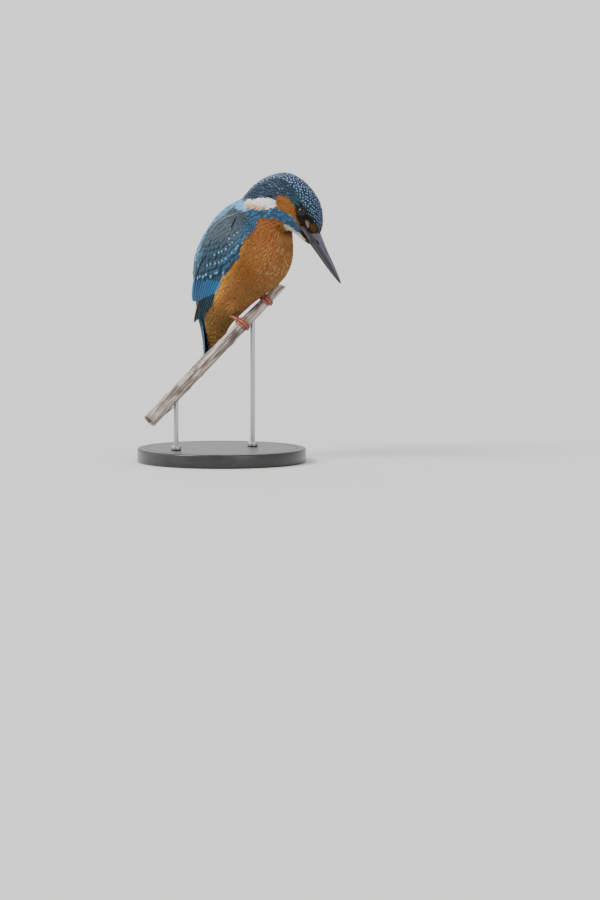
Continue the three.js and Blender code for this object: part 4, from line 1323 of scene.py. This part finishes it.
def tract_of(points, t, turn):
    """The name of the feather tract at each place."""
    x, z = points[:, 0] / MM, points[:, 2] / MM
    round_ = np.abs(turn)
    p, q = on_wing(t, turn)
    crown = (round_ < edge_at(CROWN_EDGE, t)) & (t < 9.7)
    blue = round_ < edge_at(BLUE_EDGE, t)
    names = np.full(len(x), "breast", dtype=object)
    names[(t > 16.2) & (round_ > 60)] = "vent"
    names[(t > 8.7) & blue] = "shoulder"
    back_edge = edge_at(BACK_EDGE, t)
    names[(t > 9.5) & (round_ < back_edge)] = "back"
    names[(t < 5.1) & (round_ > edge_at(CHIN_EDGE, t))] = "chin"
    names[off_outline(STRIPE, x, z) < 0] = "stripe"
    names[off_outline(LORES, x, z) < 0] = "lores"
    names[(t < 2.8) & (names == "breast")] = "lores"
    names[off_outline(EAR_PATCH, x, z) < 0] = "ear"
    names[off_outline(NECK_PATCH, x, z) < 0] = "patch"
    names[crown] = "crown"
    names[(p > 0.1) & blue & (round_ >= back_edge)] = "wing"
    names[off_outline(BARE_HORN, x, z) < 0] = "none"
    return names


def feather_bed(tract, spacing, long, seed):
    """Evenly spread roots whose tips show in one tract, with the lie and the colours there."""
    reach = SEEN * long

    def keep(points, t, turn):
        tips, farther = ahead(t, turn, reach)
        middles, middle_t = ahead(t, turn, reach / 2)
        own = (tract != "patch") | (tract_of(middles, middle_t, turn) == "patch")
        clear = clear_of_eye(points, tips, middles)
        return (tract_of(tips, farther, turn) == tract) & clear & own & (t > 0.05)

    points, t, turn = scatter(spacing, keep, seed)
    tips, farther = ahead(t, turn, reach)
    return points, farther, turn, lie_at(t, turn), plumage(tips, farther, turn, 0.25)


def lay_bed(name, tract, spacing, long, wide, seed, **looks):
    """Lays one tract's feathers in the plumage's own colours, without spots."""
    points, _, _, way, colours = feather_bed(tract, spacing, long, seed)
    lay_feathers(name, points, way, long, wide, colours, NO_MARK, seed=seed + 1, **looks)


THROAT_FOLD = 1.9 * MM  # how far the throat's feathers stand off where the bowed head folds them


def throat_fold(t, round_):
    return THROAT_FOLD * ease(t, 6.6, 8.2) * (1 - ease(t, 8.8, 11.2)) * ease(round_, 118, 150)


points, t, turn, way, colours = feather_bed("breast", 1.0 * MM, 6.5 * MM, 21)
dice = np.random.default_rng(5)
round_ = np.abs(turn)
silvery = (dice.random(len(t)) < 0.22) * bell(t, 11.6, 2.6) * ease(round_, 122, 150)
marks = marked((0.58, 0.39, 0.18), 0.6 * silvery)
colours = colours * (1 + 0.03 * dice.normal(0, 1, len(t)))[:, None]
root_fold = throat_fold(place_on_chart(points)[0], round_)
tip_fold = throat_fold(t, round_)
lay_feathers(
    "breast_feathers", points, way, 6.5 * MM, 2.1 * MM, colours, marks, low=0.25 * MM + root_fold,
    rise=0.45 * MM + tip_fold - root_fold, bow=0.04, ragged=0.06, widths=[0.5, 0.95, 1.0, 0.8, 0.3],
    seed=22, material=orange_plumage, shade=0.94,
)
lay_bed(
    "undertail_feathers", "vent", 1.3 * MM, 9 * MM, 3.4 * MM, 31, low=0.25 * MM, rise=0.5 * MM, bow=0.04,
    ragged=0.05, material=orange_plumage, shade=0.94,
)

points, t, turn, way, colours = feather_bed("back", 1.2 * MM, 5.5 * MM, 41)
dice = np.random.default_rng(6)
bright = np.where(dice.random(len(t)) < 0.4, 1.25, 0.85)[:, None]
lay_feathers(
    "back_feathers", points, way, 5.5 * MM, 1.9 * MM, colours * bright, NO_MARK, low=0.12 * MM,
    rise=0.8 * MM, bow=0.06, seed=42, material=blue_plumage,
)
lay_bed(
    "shoulder_feathers", "shoulder", 1.0 * MM, 4.4 * MM, 1.8 * MM, 51, low=0.15 * MM, rise=0.8 * MM,
    bow=0.06, material=blue_plumage,
)

# ---- Coat of the head ------------------------------------------------------------------------------
# The smallest feathers sit round the bill and eyes. The crown's lie in cross rows, each tipped with a
# pale blue spot. White silk covers the neck patch, and hairy orange feathers cover the ear.

lay_bed(
    "neck_patch_feathers", "patch", 0.8 * MM, 4.2 * MM, 1.2 * MM, 61, low=0.25 * MM, rise=0.5 * MM, bow=0.04,
    ragged=0.1, slot="neck_feathers", material=pale_plumage, shade=0.97,
)

points, t, turn, way, colours = feather_bed("stripe", 0.66 * MM, 4.0 * MM, 71)
dice = np.random.default_rng(7)
pale = (dice.random(len(t)) < 0.26) * ease(t, 2.2, 4)
marks = marked((0.12, 0.42, 0.68), 0.95 * pale)
lay_feathers(
    "cheek_stripe_feathers", points, way, 4.0 * MM, 1.0 * MM, colours, marks, low=0.3 * MM, rise=0.6 * MM,
    bow=0.04, seed=72, slot="head_feathers", material=blue_plumage,
)

points, t, turn, way, colours = feather_bed("ear", 0.6 * MM, 3.0 * MM, 81)
dice = np.random.default_rng(9)
colours = colours * (1 + 0.05 * dice.normal(0, 1, len(t)))[:, None]
lay_feathers(
    "ear_feathers", points, way, 3.0 * MM, 0.8 * MM, colours, NO_MARK, low=0.2 * MM, rise=0.6 * MM,
    bow=0.06, ragged=0.12, seed=82, slot="head_feathers", material=orange_plumage,
)
lay_bed(
    "chin_feathers", "chin", 0.7 * MM, 2.6 * MM, 0.9 * MM, 91, low=0.2 * MM, rise=0.5 * MM, bow=0.05,
    ragged=0.1, slot="head_feathers", material=pale_plumage, shade=0.97,
)
lay_bed(
    "lore_feathers", "lores", 0.4 * MM, 1.3 * MM, 0.5 * MM, 101, low=0.35 * MM, rise=0.55 * MM, bow=0.08,
    slot="head_feathers", material=orange_plumage,
)

CROWN_ROW_SECTIONS = [0, 1, 3, 5, 7, 10]
CROWN_ROW_STEP = [1.25, 1.5, 2.0, 2.1, 2.1, 2.1]  # from forehead to nape, in mm, as are the next two
CROWN_LONG = [2.4, 3.0, 4.2, 4.8, 6.0, 7.0]
CROWN_WIDE = [1.4, 1.7, 2.3, 2.4, 2.5, 2.6]
CROWN_REACH = 84  # the rows reach this turn on both sides
ROW_SHARE = 0.76  # a row's step along the head as a share of its feathers' step across


def crown_rows():
    """Roots of the crown's rows, staggered from row to row and evenly spaced across the head."""
    ts, turns = [], []
    t, odd = 0.1, 0
    turn = np.linspace(-CROWN_REACH, CROWN_REACH, 121)
    while t < 9.3:
        step = np.interp(t, CROWN_ROW_SECTIONS, CROWN_ROW_STEP) * MM
        line = on_body(np.full(len(turn), t), turn)
        run = np.r_[0, np.cumsum(np.linalg.norm(np.diff(line, axis=0), axis=1))]
        run -= run[len(turn) // 2]
        count = int(run[-1] / step)
        stops = (np.arange(-count, count + 1) + 0.5 * odd) * step
        stops = stops[np.abs(stops) < run[-1]]
        turns.append(np.interp(stops, run, turn))
        ts.append(np.full(len(stops), t))
        here, farther = on_body(t, 0.0), on_body(t + 0.1, 0.0)
        t += 0.1 * ROW_SHARE * step / np.linalg.norm(farther - here)
        odd = 1 - odd
    return np.concatenate(ts), np.concatenate(turns)


t, turn = crown_rows()
dice = np.random.default_rng(8)
t = t + dice.normal(0, 0.010, len(t))
turn = turn + dice.normal(0, 0.30, len(t))
points = on_body(t, turn)
long = np.interp(t, CROWN_ROW_SECTIONS, CROWN_LONG) * MM
tips, farther = ahead(t, turn, SEEN * long)
middles, _ = ahead(t, turn, SEEN * long / 2)
good = (tract_of(tips, farther, turn) == "crown") & clear_of_eye(points, tips, middles)
t, turn, points, long, tips, farther = (values[good] for values in (t, turn, points, long, tips, farther))
colours = plumage(tips, farther, turn, 0.25)
round_ = np.abs(turn)
beyond = round_ - edge_at(SPOT_EDGE, farther)
few_spots = 0.6 + 0.35 * ease(farther, 3.4, 4.4)
odd_spots = 1 - 0.3 * (dice.random(len(t)) < 0.15)
spot_free = ease(beyond, -3, 4) * few_spots * odd_spots
strength = (1 - 0.45 * ease(farther, 6.5, 9.4)) * (1 - spot_free)
strength = strength * dice.uniform(0.7, 1, len(t))
lilac = 0.8 - 0.6 * bell(farther, 4.6, 1.2) * ease(round_, 25, 45)
spot_colour = blend_in(np.tile((0.14, 0.42, 0.58), (len(t), 1)), (0.46, 0.56, 0.80), lilac)
wide = np.interp(t, CROWN_ROW_SECTIONS, CROWN_WIDE) * MM
lay_feathers(
    "crown_feathers", points, lie_at(t, turn), long, wide, colours, np.c_[spot_colour, strength],
    low=0.1 * MM, rise=0.9 * MM, bow=0.1, ragged=0.04,
    places=[0, 0.3, 0.55, 0.78, 0.93, 1.0], widths=[0.4, 0.85, 1.0, 0.92, 0.6, 0.25], seed=112,
    slot="head_feathers", material=crown_plumage, shade=0.7,
)

# ---- Wing coverts ----------------------------------------------------------------------------------
# Small feathers bed the folded wing. Over them lie rows of coverts whose tips run slanting down and back
# from the bend of the wing. The tips of four rows are spotted pale azure.

COVERT_SLANT = np.array([-0.66, 0, -0.75])
COVERT_ROWS = [  # from low to high, in mm: the x where spots start and end, the length, each tip as (x, z)
    ((-27, -5), 9.5, [
        (-31, 113.6), (-25.5, 116.3), (-18.3, 118.4), (-12, 119.5), (-5.9, 122), (-1.4, 125.6), (3.2, 130.6),
    ]),
    (None, 9, [(-30, 117.6), (-20, 120.9), (-12, 122.8), (-5.6, 125.6), (0, 130), (5, 135)]),
    ((-19, 8), 8.5, [
        (-28.5, 121.8), (-17.8, 125.1), (-11.6, 126), (-4.9, 128.9), (2.6, 134.1), (7, 140.5), (10.5, 145),
    ]),
    (None, 8, [(-27, 125.5), (-15, 129), (-8, 130.5), (-2, 133.6), (4, 138.6), (8.4, 143.6)]),
    ((-10.5, 4), 7.5, [
        (-25, 129), (-13.5, 131.6), (-9.4, 132.6), (-4.7, 135.3), (0.5, 139.1), (5.6, 143.6), (9.4, 147.4),
    ]),
    (None, 7, [(-22.5, 133.4), (-11, 136.4), (-4, 139), (2.4, 142.6), (7.4, 147.4)]),
    ((-2.5, 7.5), 6.5, [(-20, 137.2), (-8, 140.2), (-1.4, 142.1), (3.7, 145.4), (9, 150.5)]),
]
COVERT_GAP = 3.0
COVERT_WIDE = 4.0 * MM
SCAPULAR_LINE = [(-33, 133), (-22, 138), (-8, 142), (0, 144.5), (9, 152), (16, 158)]  # they lie above it
SCAPULAR_LONG = 8.5 * MM
PALE_EDGE = [(6.8, 159.8), (3.3, 159), (-0.8, 157.7), (-5.2, 155.6), (-10, 152.2), (-14.5, 147.5)]
# The slate tone high on the wing is partly painted sheen; lower down the wing is its own teal.
WING_TONES = [(118, TEAL_WING), (132, TEAL_WING), (150, SHEENED_SLATE_WING), (170, SHEENED_SLATE_WING)]  # by height in mm
# A dark strip of feathers is laid along this line and along the scapular gap below as painted shadow. This
# line also bounds the tertials' teal.
TERTIAL_GAP = [(-19.6, 131.5), (-22.6, 125), (-25.9, 118.6), (-28.6, 113)]
TERTIAL_TEAL = (0.045, 0.118, 0.165)
SCAPULAR_GAP_SHADOW = [(2.9, 156.4), (2.4, 154.6), (1.7, 152.6)]


def on_side(x, z, side):
    """The skin's points level with (x, z), in mm, on one side of the bird."""
    inwards = Vector((0, -side, 0))
    starts = [Vector((a * MM, side * FAR_OUT, b * MM)) for a, b in zip(x, z)]
    hits = [skin_tree.ray_cast(start, inwards)[0] for start in starts]
    return np.array([tuple(hit) if hit else (math.nan,) * 3 for hit in hits])


def along_line(stops, gap, start=0.0):
    """Points every gap along a line through stops."""
    stops = np.array(stops, float)
    run = np.r_[0, np.cumsum(np.linalg.norm(np.diff(stops, axis=0), axis=1))]
    places = np.arange(start, run[-1], gap)
    return between(places, run, stops)


def covert_tips():
    """Tips of all covert rows on one side: x, z, spot and length."""
    rows = []
    for rank, (spotted, long, stops) in enumerate(COVERT_ROWS):
        line = along_line(stops, COVERT_GAP, COVERT_GAP * 0.5 * (rank % 2))
        first, last = spotted or (1, 0)
        spot = (line[:, 0] > first) & (line[:, 0] < last)
        rows.append(np.c_[line, spot, np.full(len(line), long)])
    return np.concatenate(rows)


def wing_tone(points):
    """Slate at the shoulder and teal below, brighter on the innermost feathers along the back."""
    x, z = points[:, 0] / MM, points[:, 2] / MM
    # The slate of the upper wing is partly painted sheen.
    tones = between(z, *zip(*WING_TONES))
    gap_x, gap_z = np.array(TERTIAL_GAP[::-1]).T
    behind = np.interp(z, gap_z, gap_x) - x
    tones = blend_in(tones, TERTIAL_TEAL, ease(behind, 0, 1.5) * (1 - ease(z, 130, 137)))
    return blend_in(tones, FORE_BLUE, fore_wing(x, z))


points, t, turn, way, colours = feather_bed("wing", 1.25 * MM, 5.5 * MM, 131)
lay_feathers(
    "wing_bed_feathers", points, unit(0.6 * way + 0.4 * COVERT_SLANT), 5.5 * MM, 2.2 * MM, wing_tone(points),
    NO_MARK, low=0.1 * MM, rise=0.3 * MM, bow=0.02, seed=132, slot="wing_feathers", material=blue_plumage,
    shade=0.9,
)

points, t, turn, way, colours = feather_bed("wing", 1.7 * MM, SCAPULAR_LONG, 151)
tips = points + way * SEEN * SCAPULAR_LONG
line = np.array(SCAPULAR_LINE, float)
upper = tips[:, 2] / MM > np.interp(tips[:, 0] / MM, line[:, 0], line[:, 1])
dice = np.random.default_rng(14)
tones = wing_tone(points) * dice.uniform(0.95, 1.05, len(t))[:, None]
lay_feathers(
    "scapular_feathers", points[upper], way[upper], SCAPULAR_LONG, 3.0 * MM, tones[upper], NO_MARK,
    low=0.5 * MM, rise=0.22 * MM, bow=0.01, ragged=0.04, seed=152, slot="wing_feathers",
    material=blue_plumage, shade=0.9,
)

for side_name, side in SIDES:
    tips = covert_tips()
    dice = np.random.default_rng(121)
    tips[:, :2] += dice.normal(0, 0.14, (len(tips), 2))
    places = on_side(tips[:, 0], tips[:, 1], side)
    good = ~np.isnan(places[:, 0])
    places, tips = places[good], tips[good]
    t, turn = place_on_chart(places)
    p, q = on_wing(t, turn)
    good = (p > -0.03) & (q > -0.02) & (q < 0.97)
    places, tips, t, turn, q = places[good], tips[good], t[good], turn[good], q[good]
    long = tips[:, 3] * MM
    way = unit(0.45 * lie_at(t, turn) + 0.55 * COVERT_SLANT)
    way = square_to(skin_normals(places), way)
    root = places - way * long[:, None]
    colours = wing_tone(places) * dice.uniform(0.94, 1.06, len(t))[:, None]
    marks = marked((0.22, 0.42, 0.58), tips[:, 2] * dice.uniform(0.65, 0.95, len(t)))
    lay_feathers(
        f"wing_coverts_{side_name}", root, way, long, COVERT_WIDE * (1 - 0.4 * ease(q, 0.78, 1.0)), colours,
        marks, low=0.45 * MM, rise=0.22 * MM, flare=0.9 * MM * ease(long / MM, 8.4, 9.5), bow=0.01,
        places=[0, 0.25, 0.5, 0.7, 0.84, 0.94, 1.0], widths=[0.3, 0.7, 0.95, 1.0, 0.92, 0.66, 0.22],
        ragged=0.03, sweep=0.3, seed=122, slot="wing_feathers", material=covert_plumage, shade=0.88,
    )
    # The pale edge is the scapulars' own pale margin. The two dark gap strips are painted shadow, dark vanes
    # laid where the feather groups part.
    for name, line, wide, tone in (
        ("scapular_edge", PALE_EDGE, 0.62 * MM, (0.29, 0.26, 0.235)),
        ("scapular_gap_shadow", SCAPULAR_GAP_SHADOW, 1.3 * MM, (0.012, 0.016, 0.022)),
        ("tertial_gap_shadow", TERTIAL_GAP, 0.9 * MM, (0.010, 0.018, 0.026)),
    ):
        edge = along_line(line, 1.6)
        edge_root = on_side(edge[:, 0], edge[:, 1], side)
        edge_way = unit(np.gradient(edge_root, axis=0))
        lay_feathers(
            f"{name}_{side_name}", edge_root, edge_way, 3.4 * MM, wide, tone, NO_MARK, low=1.0 * MM,
            rise=0.1 * MM, bow=0.0, ragged=0.04, seed=161, slot="wing_feathers", material=pale_plumage,
        )

# ---- Flight feathers -------------------------------------------------------------------------------
# The stiff blades of the folded wing: blue secondaries lie stepped over blackish primaries. Each has a
# shaft, a bright outer web or edge, and a dark inner web that the next blade covers.

BLADE_ROWS = 22
BLADE_THICK = 0.13 * MM
# Round a blade's section: the place across it, and the height in thicknesses.
BLADE_RING = [(-1, 0), (-0.5, 1), (0, 1.8), (0.5, 1), (1, 0), (0.5, -1), (0, -1.4), (-0.5, -1)]
STACK_HIGH = 0.6
SECONDARY = {  # first and last blade, from the back to the wing's lower edge: roots (x, z), tips (x, y, z)
    "count": 11, "roots": [(-26.5, 118), (-4.2, 123)], "tips": [(-33.0, 7.2, 101.2), (-17.4, 15.4, 103.6)],
    "high": 0.15, "arch": 0.9, "bulge": 0.9, "lean": (0.35, 0),
}
PRIMARY = {
    "count": 8, "roots": [(-24.5, 107), (-12.5, 111.5)], "tips": [(-32.9, 5.8, 87.8), (-18.6, 14.2, 98.6)],
    "high": -0.3, "arch": 0.3, "bulge": 0.2, "lean": (0.8, 0.75),
}


def blade(line, up, half, mirror, camber=0.16, blunt=0.14):
    """Rings of a flight feather along a line. up is the way its face looks."""
    share = np.linspace(0, 1, len(line))
    way = unit(np.gradient(line, axis=0))
    up = np.broadcast_to(up, line.shape)
    across = unit(np.cross(up, way)) * mirror
    face = square_to(way, up)
    end = np.clip(share - (1 - blunt), 0, 1) / blunt
    wide = half * np.minimum(1, 0.5 + 1.8 * share) * np.sqrt(np.clip(1 - end**2, 0.003, 1))
    lines = []
    for side, lift in BLADE_RING:
        height = BLADE_THICK * lift - camber * side**2 * wide
        lines.append(line + across * (wide * side)[:, None] + face * height[:, None])
    return np.stack(lines, 1)


def wing_blades(side, plan, half):
    """Rings and roots of one set of blades, in order from the back to the wing's lower edge."""
    order = np.linspace(0, 1, plan["count"])
    stack = STACK_HIGH * (1 - order) * MM
    (x0, z0), (x1, z1) = plan["roots"]
    root = on_side(x0 + (x1 - x0) * order, z0 + (z1 - z0) * order, side)
    root = root + skin_normals(root) * (plan["high"] * MM + stack)[:, None]
    ends = np.array(plan["tips"]) * MM * (1, side, 1)
    outward_by = stack + plan["bulge"] * MM * np.sin(math.pi * order)
    tip = ends[0] + (ends[1] - ends[0]) * order[:, None] + np.array([0, side, 0]) * outward_by[:, None]
    s = np.linspace(0, 1, BLADE_ROWS)[None, :, None]
    lean = np.interp(order, (0, 1), plan["lean"])
    up = unit(np.stack([-lean, np.full(plan["count"], side), np.zeros(plan["count"])], 1))
    arch = up[:, None] * plan["arch"] * MM * np.sin(math.pi * s)
    lines = root[:, None] + (tip - root)[:, None] * s + arch
    rings = np.stack([blade(line, face, half, -side) for line, face in zip(lines, up)])
    return rings, root


def blade_material(name, outer, inner, edge, shaft, specular, edge_from=0.88):
    """A bright outer web with a fine edge, a dark inner web, slanting barbs and a dark shaft."""
    material, tree, shader = new_material(name, outer, 0.5, Specular_IOR_Level=specular)
    across, _, _, barb = vane_pattern(tree, -0.16, 520.0)
    web = node(tree, "ValToRGB", {"Fac": across})
    stops = [
        (0.0, inner), (0.44, inner), (0.485, shaft), (0.515, shaft), (0.56, outer), (edge_from - 0.1, outer),
        (edge_from, edge),
    ]
    for place, colour in stops[1:-1]:
        web.color_ramp.elements.new(place)
    for element, (place, colour) in zip(web.color_ramp.elements, stops):
        element.position = place
        element.color = (*colour, 1)
    toned = mix(tree, 1.0, web.outputs["Color"], kept(tree, "tone", "Color"), "MULTIPLY")
    lined = mix(tree, 1.0, toned, ranged(tree, barb, -1.0, 1.0, 0.86, 1.08), "MULTIPLY")
    paint(tree, shader, lined, barb, 0.2, 0.05 * MM)
    return material


blue_blade = blade_material(
    "blue_blade", (0.022, 0.135, 0.31), (0.006, 0.011, 0.018), (0.15, 0.44, 0.74), (0.010, 0.012, 0.016), 0.2
)
black_blade = blade_material(
    "black_blade", (0.014, 0.011, 0.012), (0.009, 0.008, 0.008), (0.06, 0.19, 0.30), (0.014, 0.012, 0.012),
    0.1, 0.94,
)
blade_u = 0.5 + 0.5 * np.array([side for side, _ in BLADE_RING])
blade_places = np.linspace(0, 1, BLADE_ROWS)

for side_name, side in SIDES:
    for kind, plan, half, material in (
        ("secondaries", SECONDARY, 2.0 * MM, blue_blade),
        ("primaries", PRIMARY, 1.9 * MM, black_blade),
    ):
        rings, root = wing_blades(side, plan, half)
        count = len(rings)
        dice = np.random.default_rng(141)
        tones = dice.uniform(0.85, 1.15, (count, 1, 1, 1))
        nodes = [f"flight_feathers_{side_name}"] if kind == "secondaries" else []
        across = np.tile(blade_u, (count, BLADE_ROWS, 1))
        across[0] = 0.5 + np.abs(across[0] - 0.5)
        coat_piece(
            f"{kind}_{side_name}", rings, across, blade_places, tones, NO_MARK, root,
            material, nodes,
        )

# ---- Tail ------------------------------------------------------------------------------------------
# Twelve short, blunt feathers of a blue tail, the middle pair on top and the outer ones stepped under
# them to either side. Their undersides are dusky.

TAIL_ROOT = np.array([-30.2, 0, 92]) * MM
TAIL_TIP = np.array([-25.6, 0, 63.5]) * MM
TAIL_HALVES = (4.2, 7.4)  # of the whole tail at its root and its tip, in mm, as are the next five
TAIL_BOW = 1.2
TAIL_ROOF = 2.2
TAIL_STACK = 1.2
TAIL_BACK = 2.9
TAIL_SHORTEN = 2.0
TAIL_HALF = 2.05 * MM
TAIL_PAIRS = 6
TAIL_HUE = np.array([1.8, 0.95, 0.78])
TAIL_DUSKY = np.array([1.3, 0.45, 0.28])

faces_back = np.tile([[lift >= 0] for _, lift in BLADE_RING], (BLADE_ROWS, 1, 1))
s = np.linspace(-0.35, 1, BLADE_ROWS)[:, None]
seen_share = np.clip(s, 0, 1)
rings, roots, tones = [], [], []
for side in (-1, 1):
    for pair in range(TAIL_PAIRS):
        width = (pair + 0.5) / TAIL_PAIRS
        line = TAIL_ROOT + (TAIL_TIP - TAIL_ROOT) * s
        stepped = TAIL_ROOF * width**2 + TAIL_STACK * width - TAIL_BACK
        forward = TAIL_BOW * np.sin(math.pi * seen_share) + stepped
        out = (TAIL_HALVES[0] + (TAIL_HALVES[1] - TAIL_HALVES[0]) * s) * width * side
        line = line + np.hstack([forward, out, TAIL_SHORTEN * width * seen_share]) * MM
        up = unit(np.array([-1.0, side * 0.55 * width, -0.1]))
        rings.append(blade(line, up, TAIL_HALF, -side, camber=0.1, blunt=0.1))
        roots.append(line[8])
        tones.append(np.where(faces_back, TAIL_HUE * (1.1 - 0.5 * width), TAIL_DUSKY))
coat_piece(
    "tail_blades", np.stack(rings), np.tile(blade_u, (BLADE_ROWS, 1)), blade_places, np.stack(tones), NO_MARK,
    np.array(roots), blue_blade, ["tail"],
)

# ---- Showcase floor, light and camera --------------------------------------------------------------
# A wide pale floor under soft studio light, with the camera far off at a long focal length.

FLOOR_HALF = 9.0
FLOOR_PLAIN = (0.58, 0.57, 0.56)
FLOOR_SEEN = (0.80, 0.79, 0.775)
CAMERA_AZIMUTH = math.radians(25)
CAMERA_HEIGHT = math.radians(5)
CAMERA_AWAY = 14.0
FRAME_HIGH = 0.576  # height of the framed field at the bird, in metres
FRAME_RIGHT = 35.2 * MM  # the framed field's middle, right of and above the origin as the camera sees them
FRAME_UP = 6.4 * MM
SENSOR = 36.0

nothing_selected()
bpy.ops.mesh.primitive_plane_add(size=2 * FLOOR_HALF, location=(0, 0, 0))
floor = bpy.context.object
floor.name = "floor"
floor_paint, tree, shader = new_material("floor_paint", FLOOR_PLAIN, 0.9, Specular_IOR_Level=0.1)
rays = node(tree, "LightPath").outputs
seen_or_shone = maths(tree, "ADD", rays["Is Camera Ray"], rays["Is Glossy Ray"])
any_sight = maths(tree, "MINIMUM", maths(tree, "ADD", seen_or_shone, rays["Is Transmission Ray"]), 1.0)
tree.links.new(mix(tree, any_sight, FLOOR_PLAIN, FLOOR_SEEN), shader.inputs["Base Color"])
floor.data.materials.append(floor_paint)

world = bpy.data.worlds.new("studio")
bpy.context.scene.world = world
world.use_nodes = True
sky = world.node_tree.nodes["Background"]
sky.inputs["Color"].default_value = (0.97, 0.985, 1.0, 1)
sky.inputs["Strength"].default_value = 0.78


def broad_lamp(name, place, strength, spread, colour):
    """A far, soft light that shines evenly from a place towards the bird. spread is its width in degrees."""
    lamp = bpy.data.lights.new(name, "SUN")
    lamp.energy = strength
    lamp.angle = math.radians(spread)
    lamp.color = colour
    stand = placed(name, lamp)
    stand.location = place
    stand.rotation_euler = (-Vector(place)).to_track_quat("-Z", "Y").to_euler()


broad_lamp("key_lamp", (-1.3, -1.8, 2.2), 2.5, 28, (1.0, 0.985, 0.96))
broad_lamp("side_lamp", (-2.2, -1.3, 0.5), 1.0, 75, (1.0, 0.99, 0.975))
broad_lamp("fill_lamp", (2.0, -1.4, 0.9), 0.6, 40, (0.96, 0.98, 1.0))
broad_lamp("back_lamp", (-1.2, 1.8, 1.9), 0.6, 40, (0.97, 0.985, 1.0))

right_way = Vector((math.cos(CAMERA_AZIMUTH), math.sin(CAMERA_AZIMUTH), 0))
to_camera = Vector((
    math.sin(CAMERA_AZIMUTH) * math.cos(CAMERA_HEIGHT),
    -math.cos(CAMERA_AZIMUTH) * math.cos(CAMERA_HEIGHT),
    math.sin(CAMERA_HEIGHT),
))
up_way = to_camera.cross(right_way)
aim = right_way * FRAME_RIGHT + up_way * FRAME_UP
camera_data = bpy.data.cameras.new("camera")
camera_data.sensor_width = SENSOR
camera_data.lens = SENSOR * CAMERA_AWAY / FRAME_HIGH
camera_data.clip_end = 60
camera = placed("camera", camera_data)
camera.location = aim + to_camera * CAMERA_AWAY
camera.rotation_euler = to_camera.to_track_quat("Z", "Y").to_euler()
bpy.context.scene.camera = camera
